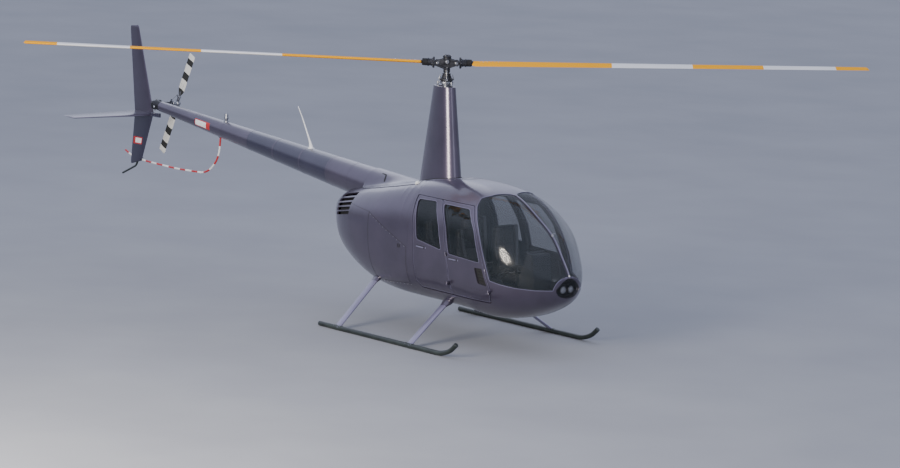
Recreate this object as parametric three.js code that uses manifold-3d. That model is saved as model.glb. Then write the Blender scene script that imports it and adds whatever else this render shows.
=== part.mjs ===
// A light four-seat helicopter with two main blades, parked on its skids.
// Millimetres, +Z up, nose towards +X, port side towards +Y. Everything is laid out from a
// point on the floor under the main rotor's axis, and the whole is then moved along X so that
// the origin lies under the middle of its box.
import * as THREE from 'three';
import { mergeVertices } from 'three/addons/utils/BufferGeometryUtils.js';
import Module from 'manifold-3d';

const wasm = await Module();
wasm.setup();

// General clearances and wall thicknesses
const SEAT = 0.3;
const CABIN_WALL = 28;
const COWL_WALL = 20;
const DOOR_GAP = 6;
const SILL_GAP = 14;
const AROUND = 32;

// Body sections from nose to tail: x, half width, top, bottom, height of the greatest width,
// squareness above that height, squareness below it
const BODY = [
  [2370, 30, 965, 880, 920, 2.0, 2.0],
  [2345, 170, 1030, 738, 920, 2.0, 2.0],
  [2250, 305, 1165, 636, 925, 2.1, 2.1],
  [2050, 467, 1417, 533, 955, 2.3, 2.2],
  [1750, 630, 1620, 430, 1005, 2.75, 2.4],
  [1400, 655, 1803, 375, 1010, 3.0, 2.6],
  [1000, 648, 1885, 408, 1030, 2.9, 2.8],
  [550, 643, 1905, 418, 1070, 2.8, 2.8],
  [100, 643, 1875, 420, 1100, 2.8, 2.8],
  [-350, 640, 1780, 430, 1130, 2.8, 2.8],
  [-750, 618, 1700, 480, 1150, 2.7, 2.7],
  [-1100, 572, 1635, 586, 1180, 2.5, 2.5],
  [-1400, 480, 1560, 740, 1230, 2.4, 2.5],
  [-1600, 355, 1500, 935, 1250, 2.3, 2.3],
  [-1700, 268, 1440, 1070, 1270, 2.2, 2.2],
  [-1745, 165, 1378, 1150, 1268, 2.1, 2.1],
  [-1762, 8, 1285, 1262, 1272, 2.0, 2.0],
];
// Rows of the table between which one more section is worked out
const HALF_ROWS = [0.5, 1.5, 2.5, 3.5, 4.5, 11.5, 12.5, 13.5];
const CABIN_AFT = 150;
const FIREWALL = 28;
const BELLY_SEAM = 620;

// Doors, as seen from the side: x, z
const DOOR_TOP = 1700;
const DOOR_BOTTOM = 625;
const SPLIT = [[646, DOOR_TOP], [794, 1460], [861, 1200], [926, 900], [958, DOOR_BOTTOM]];
const SPLIT_GAP = 10;
const FRONT_EDGE = [[1205, DOOR_TOP], [1396, 1430], [1566, 1090], [1648, 890], [1682, 785]];
const FRONT_CORNER = [1625, DOOR_BOTTOM];
const AFT_EDGE = [[182, DOOR_TOP], [215, 1450], [262, 1180], [275, 900], [285, 700]];
const AFT_CORNER = [350, DOOR_BOTTOM];
const FRONT_WINDOW = [[700, 1662], [1165, 1660], [1353, 1430], [1505, 1082], [925, 1106], [845, 1401]];
const REAR_WINDOW = [[222, 1660], [556, 1672], [702, 1400], [785, 1130], [322, 1198]];
const WINDOW_CORNER = 38;
const DOOR_SWING_AXES = {
  front: { low: [1690, 659, 760], high: [1620, 659, 1000] },
  aft: { low: [945, 667, 760], high: [887, 658, 1100] },
};

// Windscreen: its edges seen from the side as x, z and its brow seen from above as x, y, and the
// half width of the bow between its halves
const WINDSCREEN = [
  [1225, 1722], [1150, 1800], [1150, 2000], [2600, 2000], [2600, 1080], [2361, 991], [2318, 838],
  [2177, 831], [1983, 841], [1825, 867], [1686, 896], [1610, 1086], [1516, 1284], [1432, 1440],
  [1309, 1625],
];
const BROW = [[1233, -482], [1198, -401], [1251, -309], [1277, -180], [1313, -56], [1352, -15]];
const BOW = 15;
const GLASS_DEPTH = 3;
const GLASS = 6;
const WINDOW_DEPTH = 10;

// Rotors
const ROTOR_RADIUS = 5030;
const BLADE_CHORD = 254;
const BLADE_AZIMUTH = 52;
const CONING = 1;
const HUB_Z = 3230;
const SHAFT_RADIUS = 28;
const TAIL_ROTOR = [-5893, 338, 2027];
const TAIL_ROTOR_RADIUS = 736;
const TAIL_BLADE_ANGLE = 65;

// Tail cone: x, height of its axis, radius
const CONE = [[-1150, 1570, 217], [-5760, 2018, 66]];
const CONE_WALL = 4;

// Skids
const TREAD = 2180;
const TUBE_RADIUS = 30;
const TUBE_SIDES = 12;

const radians = THREE.MathUtils.degToRad;

function solid(geometry) {
  const bare = geometry.clone();
  bare.deleteAttribute('normal');
  bare.deleteAttribute('uv');
  const merged = mergeVertices(bare, 0.001);
  return new wasm.Manifold(new wasm.Mesh({
    numProp: 3,
    vertProperties: new Float32Array(merged.attributes.position.array),
    triVerts: new Uint32Array(merged.index.array),
  }));
}

function geometryOf(body) {
  const mesh = body.getMesh();
  const geometry = new THREE.BufferGeometry();
  geometry.setAttribute('position', new THREE.BufferAttribute(mesh.vertProperties, 3));
  geometry.setIndex(new THREE.BufferAttribute(mesh.triVerts, 1));
  geometry.computeVertexNormals();
  return geometry;
}

function moved(body, matrix) {
  return solid(geometryOf(body).applyMatrix4(matrix));
}

function mirrored(body) {
  const geometry = geometryOf(body);
  const position = geometry.attributes.position;
  for (let i = 0; i < position.count; i += 1) {
    position.setY(i, -position.getY(i));
  }
  const index = geometry.index.array;
  for (let i = 0; i < index.length; i += 3) {
    [index[i], index[i + 1]] = [index[i + 1], index[i]];
  }
  return solid(geometry);
}

// A closed skin through rings of the same number of points, flat at both ends
function loft(rings) {
  const count = rings[0].length;
  const points = rings.flat();
  const index = [];
  for (let r = 0; r + 1 < rings.length; r += 1) {
    for (let i = 0; i < count; i += 1) {
      const a = r * count + i;
      const b = r * count + ((i + 1) % count);
      index.push(a, b, b + count, a, b + count, a + count);
    }
  }
  const ends = [[rings[0], 0, true], [rings.at(-1), (rings.length - 1) * count, false]];
  for (const [ring, start, flip] of ends) {
    const middle = ring.reduce((sum, p) => sum.add(p), new THREE.Vector3()).divideScalar(count);
    const tip = points.push(middle) - 1;
    for (let i = 0; i < count; i += 1) {
      const a = start + i;
      const b = start + ((i + 1) % count);
      index.push(...(flip ? [b, a, tip] : [a, b, tip]));
    }
  }
  const geometry = new THREE.BufferGeometry().setFromPoints(points);
  geometry.setIndex(index);
  const body = solid(geometry);
  if (body.volume() > 0) {
    return body;
  }
  for (let i = 0; i < index.length; i += 3) {
    [index[i], index[i + 1]] = [index[i + 1], index[i]];
  }
  geometry.setIndex(index);
  return solid(geometry);
}

function sectionRing([x, half, top, bottom, wide, above, below], count = AROUND) {
  return Array.from({ length: count }, (_, i) => {
    const angle = (2 * Math.PI * i) / count;
    const c = Math.cos(angle);
    const s = Math.sin(angle);
    const power = s >= 0 ? above : below;
    const y = half * Math.sign(c) * Math.abs(c) ** (2 / power);
    const rise = Math.abs(s) ** (2 / power);
    return new THREE.Vector3(x, y, s >= 0 ? wide + (top - wide) * rise : wide - (wide - bottom) * rise);
  });
}

// The section at row t of the body's table, on a smooth curve through its rows
function rowAt(t) {
  const last = BODY.length - 1;
  const i = Math.min(Math.floor(t), last - 1);
  const share = t - i;
  const near = [i - 1, i, i + 1, i + 2].map((k) => BODY[THREE.MathUtils.clamp(k, 0, last)]);
  return near[1].map((start, column) => {
    const [before, , end, after] = near.map((row) => row[column]);
    const bend = 2 * before - 5 * start + 4 * end - after;
    const twist = 3 * start - before - 3 * end + after;
    return start + share * 0.5 * (end - before + share * (bend + share * twist));
  });
}

const SECTIONS = [...BODY.keys(), ...HALF_ROWS].sort((a, b) => a - b).map(rowAt);

function sectionAt(table, x) {
  const rows = [...table].sort((a, b) => a[0] - b[0]);
  const upper = Math.max(1, rows.findIndex((row) => row[0] >= x));
  const [a, b] = [rows[upper - 1], rows[upper]];
  const share = (x - a[0]) / (b[0] - a[0]);
  return a.map((value, i) => value + (b[i] - value) * share);
}

// The same body made smaller by a depth measured square to its skin
function inset(depth) {
  return SECTIONS.map((row, i) => {
    const before = SECTIONS[Math.max(0, i - 1)];
    const after = SECTIONS[Math.min(SECTIONS.length - 1, i + 1)];
    const run = before[0] - after[0];
    const slope = ((after[1] - before[1]) + (after[2] - before[2]) + (before[3] - after[3])) / (3 * run);
    const tilt = Math.atan(slope);
    const side = depth * Math.cos(tilt);
    const [x, half, top, bottom, wide, above, below] = row;
    return [x - depth * Math.sin(tilt), Math.max(4, half - side), Math.max(wide + 4, top - side),
      Math.min(wide - 4, bottom + side), wide, above, below];
  });
}

function bodyLoft(depth, from = -Infinity, to = Infinity) {
  const table = inset(depth);
  const low = Math.max(from, table.at(-1)[0]);
  const high = Math.min(to, table[0][0]);
  const inside = table.filter(([x]) => x > low + 1 && x < high - 1);
  const rows = [sectionAt(table, high), ...inside, sectionAt(table, low)];
  return loft(rows.map((row) => sectionRing(row)));
}

// A box from one corner to the other
function block([x0, y0, z0], [x1, y1, z1]) {
  const geometry = new THREE.BoxGeometry(x1 - x0, y1 - y0, z1 - z0);
  return solid(geometry.translate((x0 + x1) / 2, (y0 + y1) / 2, (z0 + z1) / 2));
}

// An outline in x, z carried from one y to another
function sidePrism(outline, y0, y1) {
  const shape = new THREE.Shape(outline.map(([x, z]) => new THREE.Vector2(x, z)));
  const geometry = new THREE.ExtrudeGeometry(shape, { depth: y1 - y0, bevelEnabled: false });
  return solid(geometry.rotateX(Math.PI / 2).translate(0, y1, 0));
}

// An outline in x, y carried from one height to another
function topPrism(outline, z0, z1) {
  const shape = new THREE.Shape(outline.map(([x, y]) => new THREE.Vector2(x, y)));
  const geometry = new THREE.ExtrudeGeometry(shape, { depth: z1 - z0, bevelEnabled: false });
  return solid(geometry.translate(0, 0, z0));
}

// An outline in y, z carried from one x to another
function frontPrism(outline, x0, x1) {
  const shape = new THREE.Shape(outline.map(([y, z]) => new THREE.Vector2(y, z)));
  const geometry = new THREE.ExtrudeGeometry(shape, { depth: x1 - x0, bevelEnabled: false });
  return solid(geometry.rotateX(Math.PI / 2).rotateZ(Math.PI / 2).translate(x0, 0, 0));
}

// An outline made larger (or smaller, below zero) by the same distance on every side
function grown(outline, distance) {
  const area = outline.reduce((sum, [x, z], i) => {
    const [nextX, nextZ] = outline[(i + 1) % outline.length];
    return sum + x * nextZ - nextX * z;
  }, 0);
  const turn = Math.sign(area) * distance;
  const sides = outline.map(([x, z], i) => {
    const [nextX, nextZ] = outline[(i + 1) % outline.length];
    const length = Math.hypot(nextX - x, nextZ - z);
    const [dx, dz] = [(nextX - x) / length, (nextZ - z) / length];
    return { x: x + dz * turn, z: z - dx * turn, dx, dz };
  });
  return sides.map((side, i) => {
    const last = sides[(i + sides.length - 1) % sides.length];
    const cross = last.dx * side.dz - last.dz * side.dx;
    if (Math.abs(cross) < 1e-6) {
      return [side.x, side.z];
    }
    const along = ((side.x - last.x) * side.dz - (side.z - last.z) * side.dx) / cross;
    return [last.x + last.dx * along, last.z + last.dz * along];
  });
}

// An outline with each corner cut back to an arc of a few steps
function rounded(outline, radius, steps = 3) {
  const points = [];
  outline.forEach(([x, z], i) => {
    const corner = new THREE.Vector2(x, z);
    const back = new THREE.Vector2(...outline.at(i - 1)).sub(corner);
    const on = new THREE.Vector2(...outline[(i + 1) % outline.length]).sub(corner);
    const cut = Math.min(radius, back.length() * 0.45, on.length() * 0.45);
    const start = back.setLength(cut).add(corner);
    const end = on.setLength(cut).add(corner);
    const curve = new THREE.QuadraticBezierCurve(start, corner, end);
    points.push(...curve.getPoints(steps).map((p) => [p.x, p.y]));
  });
  return points;
}

// A round bar from one point to another, its radius changing on the way
function bar(from, to, radius, sides = 16, endRadius = radius) {
  const start = new THREE.Vector3(...from);
  const end = new THREE.Vector3(...to);
  const axis = end.clone().sub(start);
  const geometry = new THREE.CylinderGeometry(endRadius, radius, axis.length(), sides);
  const along = axis.clone().normalize();
  geometry.applyQuaternion(new THREE.Quaternion().setFromUnitVectors(new THREE.Vector3(0, 1, 0), along));
  const middle = start.add(end).divideScalar(2);
  return solid(geometry.translate(middle.x, middle.y, middle.z));
}

// A round tube along points that lie in one upright plane
function tubeAlong(points, radius, sides, sideways = new THREE.Vector3(0, 1, 0)) {
  const path = points.map((p) => new THREE.Vector3(...p));
  const rings = path.map((point, i) => {
    const back = path[Math.max(0, i - 1)];
    const on = path[Math.min(path.length - 1, i + 1)];
    const tangent = on.clone().sub(back).normalize();
    const upward = tangent.clone().cross(sideways).normalize();
    return Array.from({ length: sides }, (_, k) => {
      const angle = (2 * Math.PI * (k + 0.5)) / sides;
      return point.clone()
        .addScaledVector(sideways, radius * Math.cos(angle))
        .addScaledVector(upward, radius * Math.sin(angle));
    });
  });
  return loft(rings);
}

// Points on a path whose corners are rounded
function bentPath(corners, radius, steps = 4) {
  const points = corners.map((p) => new THREE.Vector3(...p));
  const path = [points[0]];
  for (let i = 1; i + 1 < points.length; i += 1) {
    const back = points[i - 1].clone().sub(points[i]);
    const on = points[i + 1].clone().sub(points[i]);
    const cut = Math.min(radius, back.length() * 0.48, on.length() * 0.48);
    const curve = new THREE.QuadraticBezierCurve3(
      back.setLength(cut).add(points[i]), points[i], on.setLength(cut).add(points[i]));
    path.push(...curve.getPoints(steps));
  }
  path.push(points.at(-1));
  return path.map((p) => p.toArray());
}

// Half the thickness of a thin wing section at a share of its chord
function wingHalf(share, thickness) {
  return 5 * thickness * (0.2969 * Math.sqrt(share) - 0.126 * share - 0.3516 * share ** 2
    + 0.2843 * share ** 3 - 0.1036 * share ** 4);
}

const CHORD_STEPS = [0, 0.03, 0.12, 0.3, 0.6, 1];

// A wing section from its leading to its trailing edge, thick along the given direction
function wingRing(leading, trailing, thickness, upward) {
  const start = new THREE.Vector3(...leading);
  const chord = new THREE.Vector3(...trailing).sub(start);
  const length = chord.length();
  const place = (share, side) => start.clone()
    .addScaledVector(chord, share)
    .addScaledVector(upward, side * Math.max(0.6, wingHalf(share, thickness) * length));
  return [
    ...CHORD_STEPS.slice(1).map((share) => place(share, 1)),
    ...CHORD_STEPS.slice(1).reverse().map((share) => place(share, -1)),
    start.clone(),
  ];
}

const clearSkin = bodyLoft(-SEAT);

function layer(from, to) {
  return bodyLoft(from).subtract(bodyLoft(to));
}

// The tail cone, larger by a margin, from one end to the other
function coneSolid(margin, extra = 0) {
  const [[x0, z0, r0], [x1, z1, r1]] = CONE;
  const slope = (z1 - z0) / (x1 - x0);
  const tangent = new THREE.Vector3(-1, 0, -slope).normalize();
  const start = new THREE.Vector3(x0, 0, z0).addScaledVector(tangent, -extra);
  const end = new THREE.Vector3(x1, 0, z1).addScaledVector(tangent, extra);
  return bar(start.toArray(), end.toArray(), r0 + margin, 24, r1 + margin);
}

// Doors and their openings on the starboard side
const halfSplit = SPLIT_GAP / 2;
const frontDoorOutline = [
  ...SPLIT.map(([x, z]) => [x + halfSplit, z]).reverse(),
  ...FRONT_EDGE,
  FRONT_CORNER,
];
const AFT_RELIEF = [10, 3, 0, 0, 0];
const aftDoorOutline = [
  ...AFT_EDGE.map(([x, z], i) => [x + AFT_RELIEF[i], z]),
  AFT_CORNER,
  ...SPLIT.map(([x, z]) => [x - halfSplit, z]).reverse(),
];
const doorwayOutline = [...AFT_EDGE, AFT_CORNER, FRONT_CORNER, ...[...FRONT_EDGE].reverse()];
const doorwayLowered = doorwayOutline.map(([x, z]) => [x, z - (SILL_GAP - DOOR_GAP)]);
const FAR = 900;
const NEAR = 250;
const ASTERN = -2000;
const AHEAD = 3000;
const ABOVE = 2500;
const doorway = sidePrism(grown(doorwayOutline, DOOR_GAP), -FAR, -NEAR)
  .add(sidePrism(grown(doorwayLowered, DOOR_GAP), -FAR, -NEAR));

// Hinges: a barrel on the door above a fixed barrel, both round the swing axis
const BARREL = 7;
const BARREL_LENGTH = 22;
const LEAF = 5;

function hingeFrame({ low, high }, share) {
  const start = new THREE.Vector3(low[0], -low[1], low[2]);
  const end = new THREE.Vector3(high[0], -high[1], high[2]);
  const up = end.clone().sub(start).normalize();
  const outboard = new THREE.Vector3(0, -1, 0).projectOnPlane(up).normalize();
  const forward = up.clone().cross(outboard);
  const at = start.lerp(end, share);
  return new THREE.Matrix4().makeBasis(forward, outboard, up.clone().negate()).setPosition(at);
}

function inHinge(axis, share, body) {
  return moved(body, hingeFrame(axis, share));
}

function doorBarrel(axis, share, depth, start) {
  const barrel = bar([0, 0, SEAT], [0, 0, BARREL_LENGTH], BARREL, 12);
  const strap = block([start - 18, -LEAF / 2, SEAT + 2], [0, LEAF / 2, BARREL_LENGTH - 2]);
  const foot = block([start - 18, -depth, SEAT + 2], [start, LEAF / 2, BARREL_LENGTH - 2]);
  return inHinge(axis, share, sum(barrel, strap, foot));
}

function fixedBarrel(axis, share, leaf) {
  const barrel = bar([0, 0, -BARREL_LENGTH], [0, 0, 0], BARREL, 12);
  return inHinge(axis, share, barrel.add(leaf));
}

const frontAxis = DOOR_SWING_AXES.front;
const aftAxis = DOOR_SWING_AXES.aft;
const doorLayer = layer(0, CABIN_WALL);
const frontHingeDepths = [62, 28];
const aftHingeDepths = [52, 30];

const POST_OUT = CABIN_WALL + 8;
const POST_IN = POST_OUT + 30;
const POST_HALF = 32;
const splitPath = [[606, 1790], ...SPLIT, [970, 520]];
const postOutline = [
  ...splitPath.map(([x, z]) => [x + POST_HALF, z]),
  ...splitPath.map(([x, z]) => [x - POST_HALF, z]).reverse(),
];
const postPrism = sidePrism(postOutline, -FAR, -NEAR);
const postHeads = block([300, -FAR, DOOR_TOP + DOOR_GAP + 4], [1200, -NEAR, 1900])
  .add(block([300, -FAR, 400], [1200, -NEAR, DOOR_BOTTOM - SILL_GAP - 4]));
const post = postPrism.intersect(layer(POST_OUT, POST_IN))
  .add(postPrism.intersect(postHeads).intersect(layer(CABIN_WALL - 4, POST_IN)));

const LUG = 4;
const fixedOnPillar = [0, 1].map((share, i) => fixedBarrel(frontAxis, share,
  block([0, -frontHingeDepths[i], 2 - BARREL_LENGTH], [11, LEAF / 2, -2])));
const fixedOnPost = [0, 1].map((share, i) => fixedBarrel(aftAxis, share,
  block([-LUG / 2, -aftHingeDepths[i] - 40, 2 - BARREL_LENGTH], [LUG / 2, 0, -2])));
const lugSlots = [0, 1].map((share) => inHinge(aftAxis, share,
  block([-LUG / 2 - 6, -100, -BARREL_LENGTH - 6], [LUG / 2 + 11, 20, BARREL_LENGTH + 6])));

function sum(...bodies) {
  return bodies.reduce((all, body) => all.add(body));
}

// Cabin shell
const cabinInside = bodyLoft(CABIN_WALL, CABIN_AFT + FIREWALL);
function screenPrism(margin) {
  const seenFromAbove = [...BROW, [BROW.at(-1)[0], 0], [AHEAD, 0], [AHEAD, -FAR], [BROW[0][0] - 60, -FAR]];
  return sidePrism(grown(WINDSCREEN, -margin), -FAR, -BOW - margin)
    .intersect(topPrism(grown(seenFromAbove, -margin), 0, ABOVE));
}
const windscreenCut = screenPrism(0);
const bothDoorways = doorway.add(mirrored(doorway));
const oneSideFittings = sum(post, ...fixedOnPillar, ...fixedOnPost);
const LAMP_OUTLINE = [[0, 978], [-35, 974], [-95, 941], [-140, 896], [-176, 850], [-166, 814], [-132, 772],
  [-81, 748], [0, 737]];
const lampEdge = [...LAMP_OUTLINE, ...LAMP_OUTLINE.slice(1, -1).reverse().map(([y, z]) => [-y, z])];
function lampPrism(margin) {
  return frontPrism(grown(rounded(lampEdge, 12, 2), -margin), 2200, 2450);
}
const noseSkin = bodyLoft(0, CABIN_AFT).subtract(cabinInside);
const noseLamps = noseSkin.intersect(lampPrism(SEAT));
const wholeCabin = noseSkin
  .subtract(lampPrism(0))
  .subtract(bothDoorways)
  .subtract(windscreenCut)
  .subtract(mirrored(windscreenCut))
  .add(oneSideFittings)
  .add(mirrored(oneSideFittings));
const belowSeam = block([ASTERN, -FAR, 0], [AHEAD, FAR, BELLY_SEAM]);
const cabinShell = wholeCabin.subtract(belowSeam);
const cabinBelly = wholeCabin.intersect(block([ASTERN, -FAR, 0], [AHEAD, FAR, BELLY_SEAM - SEAT]));

// Doors
function door(outline, window, axis, depths, start, slots) {
  const panel = sidePrism(rounded(outline, 14, 2), -FAR, -NEAR).intersect(doorLayer);
  const cutOut = sidePrism(rounded(window, WINDOW_CORNER), -FAR, -NEAR);
  const hinges = [0, 1].map((share, i) => doorBarrel(axis, share, depths[i], start));
  const notched = slots.reduce((body, slot) => body.subtract(slot), panel.subtract(cutOut));
  return sum(notched, ...hinges.map((hinge) => hinge.subtract(bodyLoft(CABIN_WALL - 4))));
}

const frontDoor = door(frontDoorOutline, FRONT_WINDOW, frontAxis, frontHingeDepths, -30, lugSlots);
const aftLugSlots = [0, 1].map((share) => inHinge(aftAxis, share,
  block([-LUG / 2 - 6, -100, -BARREL_LENGTH - 6], [LUG / 2 + 6, 20, -SEAT])));
const aftDoor = door(aftDoorOutline, REAR_WINDOW, aftAxis, aftHingeDepths, -14, aftLugSlots);

function pane(window) {
  return sidePrism(grown(rounded(window, WINDOW_CORNER), -SEAT), -FAR, -NEAR)
    .intersect(layer(WINDOW_DEPTH, WINDOW_DEPTH + GLASS));
}

const windscreenHalf = screenPrism(SEAT).intersect(layer(GLASS_DEPTH, GLASS_DEPTH + GLASS));

// Cabin floor with the boxes under the seats
const cabinClear = bodyLoft(CABIN_WALL + SEAT, CABIN_AFT + FIREWALL + SEAT);
const floorPanel = cabinClear.intersect(block([0, -FAR, 300], [2150, FAR, 520]));
const seatBoxes = sum(
  block([930, -540, 500], [1330, 540, 720]),
  block([178.5, -540, 500], [700, 540, 740]));
const cabinFloor = floorPanel.add(seatBoxes.intersect(bodyLoft(POST_IN + 6)));

// Seats on the starboard side: a cushion with a raked back behind it
const SEAT_MIDDLE = -290;
const SEAT_WIDTH = 430;
const CUSHION = 95;
const BACK_HEIGHT = 590;
const RAKE = 110;
const BACK_THICK = 85;
const CUSHION_LONG = 370;

function seatPiece(outline) {
  return sidePrism(rounded(outline, 30, 2), SEAT_MIDDLE - SEAT_WIDTH / 2, SEAT_MIDDLE + SEAT_WIDTH / 2);
}

function cushion(front, top) {
  const back = front - CUSHION_LONG;
  return seatPiece([[front, top - CUSHION], [front - 10, top], [back, top - 20], [back, top - CUSHION]]);
}

function seatBack(front, top) {
  const foot = front - CUSHION_LONG - SEAT;
  return seatPiece([[foot, top - CUSHION], [foot, top - 20], [foot - RAKE, top + BACK_HEIGHT],
    [foot - RAKE - BACK_THICK, top + BACK_HEIGHT - 10], [foot - 115, top - CUSHION]]);
}

// Engine cowl with its open belly, its louvres and the seat of the tail cone
const cowlInside = bodyLoft(COWL_WALL, -Infinity, CABIN_AFT + 60);
const bellyOpening = block([-1130, -300, 300], [-600, 300, 700]);
const LOUVRE = { count: 5, height: 26 };
const LOUVRE_ENDS = { aft: [-1455, 1240], fore: [-1088, 1301], aftStep: [-12, 50.5], foreStep: [0, 55.5] };
const louvreCuts = sum(...Array.from({ length: LOUVRE.count }, (_, i) => {
  const { aft, fore, aftStep, foreStep } = LOUVRE_ENDS;
  const low = [
    [aft[0] + i * aftStep[0], aft[1] + i * aftStep[1]],
    [fore[0] + i * foreStep[0], fore[1] + i * foreStep[1]],
  ];
  const high = low.map(([x, z]) => [x, z + LOUVRE.height]).reverse();
  return sidePrism([...low, ...high], -FAR, -NEAR);
}));
const cowlSkin = bodyLoft(0, -Infinity, CABIN_AFT - SEAT);
const shaftHole = bar([0, 0, 1200], [0, 0, 2100], 60, 20);
const cowl = cowlSkin
  .subtract(cowlInside)
  .subtract(bellyOpening)
  .subtract(louvreCuts)
  .subtract(mirrored(louvreCuts))
  .subtract(coneSolid(SEAT, 3))
  .subtract(shaftHole);
const cowlRight = cowl.intersect(block([ASTERN, -FAR, 0], [AHEAD, -SEAT / 2, ABOVE]));
const cowlLeft = cowl.intersect(block([ASTERN, SEAT / 2, 0], [AHEAD, FAR, ABOVE]));

// Mast fairing: x of its front, x of its tail, half thickness, height
const FAIRING = [
  [345, -430, 190, 1740], [310, -415, 150, 1835], [286, -410, 130, 1870], [140, -225, 88, 2945],
];
function fairingRing([front, tail, half, z], depth) {
  const count = 24;
  const nose = front - depth;
  const end = tail + depth * 2.2;
  const side = half - depth;
  const middle = nose - side * 1.35;
  return Array.from({ length: count }, (_, i) => {
    const angle = (2 * Math.PI * i) / count;
    const c = Math.cos(angle);
    const reach = c >= 0 ? nose - middle : middle - end;
    const y = side * Math.sin(angle) * (c >= 0 ? 1 : 1 - 0.35 * c * c);
    return new THREE.Vector3(middle + reach * c, y, z);
  });
}
const FAIRING_WALL = 12;
const fairingInside = loft([[...FAIRING[0].slice(0, 3), 1700], ...FAIRING.slice(1, 3),
  [...FAIRING[3].slice(0, 3), 2975]].map((row) => fairingRing(row, FAIRING_WALL)));
const mastFairing = loft(FAIRING.map((row) => fairingRing(row, 0)))
  .subtract(fairingInside)
  .subtract(clearSkin);

// Fairing behind the mast: the tail cone's own line, carried on to the mast over the cowl
const CONE_FAIRING = { front: -395, aft: -1232, margin: 12 };
function onCone(x) {
  const [[x0, z0, r0], [x1, z1, r1]] = CONE;
  const share = (x - x0) / (x1 - x0);
  return { place: [x, 0, z0 + (z1 - z0) * share], radius: r0 + (r1 - r0) * share };
}
const [fairingFront, fairingAft] = [CONE_FAIRING.front, CONE_FAIRING.aft].map(onCone);
const coneFairing = bar(fairingFront.place, fairingAft.place, fairingFront.radius + CONE_FAIRING.margin, 32,
  fairingAft.radius + CONE_FAIRING.margin)
  .subtract(clearSkin)
  .subtract(coneSolid(SEAT, 3))
  .subtract(loft(FAIRING.map((row) => fairingRing(row, -SEAT))));

// Tail cone, a tube open at both ends
const tailCone = coneSolid(0).subtract(coneSolid(-CONE_WALL, 5));

// Tail surfaces: leading and trailing edges at root and tip
const FIN_ROOT = [[-5942, 0, 1913], [-6355, 0, 1885]];
const FIN_TOP = [[-6317, 0, 3026], [-6498, 0, 3000]];
const FIN_BOTTOM = [[-6181, 0, 1257], [-6424, 0, 1190]];
const FIN_THICK = 0.11;
const sideways = new THREE.Vector3(0, 1, 0);
const upward = new THREE.Vector3(0, 0, 1);
const finStub = block([-5985, -16, 1870], [-5700, 16, 1925]);
const fins = (thick, root = FIN_ROOT) => sum(...[FIN_TOP, FIN_BOTTOM].map((tip) => loft([
  wingRing(...root, thick, sideways), wingRing(...tip, thick, sideways)])));
const verticalFin = fins(FIN_THICK).add(finStub).subtract(coneSolid(SEAT, 3));
const clearFin = fins(FIN_THICK + 0.005, [[-5941, 0, 1913], [-6356, 0, 1885]]);
const stabilizer = loft([
  wingRing([-5960, 0, 1893], [-6350, 0, 1889], 0.1, upward),
  wingRing([-6120, -1140, 1893], [-6350, -1140, 1889], 0.1, upward),
]).subtract(clearFin)
  .subtract(block([-5985 - SEAT, -16 - SEAT, 1860], [-5700, 16 + SEAT, 1935]))
  .subtract(block([-6500, -5, 1700], [-5800, 100, 2100]));

// Tail gearbox and rotor
const coneEnd = CONE[1];
const coneFlow = new THREE.Vector3(CONE[1][0] - CONE[0][0], 0, CONE[1][1] - CONE[0][1]).normalize();
const behindCone = (distance) => [
  coneEnd[0] + coneFlow.x * distance, 0, coneEnd[1] + coneFlow.z * distance,
];
const tailGearbox = sum(
  bar(behindCone(SEAT), behindCone(14), 65, 24),
  bar(behindCone(6), [-5893, 0, 2027], 56, 16),
  bar([-5893, -45, 2027], [-5893, 70, 2027], 62, 16),
  bar([-5893, 60, 2027], [-5893, 225, 2027], 34, 16, 24)).subtract(finStub);
const [tailX, tailY, tailZ] = TAIL_ROTOR;
const tailHub = sum(
  bar([tailX, 225 + SEAT, tailZ], [tailX, tailY + 45, tailZ], 18, 16),
  bar([tailX, tailY - 22, tailZ], [tailX, tailY + 22, tailZ], 48, 16));

function tailBlade(turn) {
  const angle = radians(TAIL_BLADE_ANGLE + turn);
  const out = new THREE.Vector3(Math.cos(angle), 0, Math.sin(angle));
  const across = new THREE.Vector3(-Math.sin(angle), 0, Math.cos(angle));
  const at = (radius, sweep) => new THREE.Vector3(tailX, tailY, tailZ)
    .addScaledVector(out, radius).addScaledVector(across, sweep).toArray();
  const root = bar(at(48 + SEAT, 0), at(190, 0), 15, 10);
  const wing = loft([
    wingRing(at(150, 30), at(150, -30), 0.2, sideways),
    wingRing(at(210, 62), at(210, -62), 0.12, sideways),
    wingRing(at(TAIL_ROTOR_RADIUS, 62), at(TAIL_ROTOR_RADIUS, -62), 0.1, sideways),
  ]);
  return root.add(wing);
}

// Main rotor: shaft, hub and blades. The hub and a blade are laid out with X along the blade.
const GEARBOX_TOP = 1420;
const NECK = { low: 3112, high: HUB_Z - 62, radius: 40 };
const shaft = bar([0, 0, GEARBOX_TOP + SEAT], [0, 0, NECK.high], SHAFT_RADIUS, 20)
  .add(bar([0, 0, NECK.low], [0, 0, NECK.high], NECK.radius, 20));
const hubMatrix = new THREE.Matrix4().makeRotationZ(radians(BLADE_AZIMUTH)).setPosition(0, 0, HUB_Z);
const HUB_HALF = 145;
const CAP_TOP = 98;
const rotorHub = moved(sum(
  bar([0, 0, -61.7], [0, 0, 80], 52, 20),
  bar([0, 0, 80], [0, 0, CAP_TOP], 52, 20, 30),
  block([-HUB_HALF, -62, -34], [HUB_HALF, 62, 34]),
  bar([0, -95, 20], [0, 95, 20], 24, 16)), hubMatrix);
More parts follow.
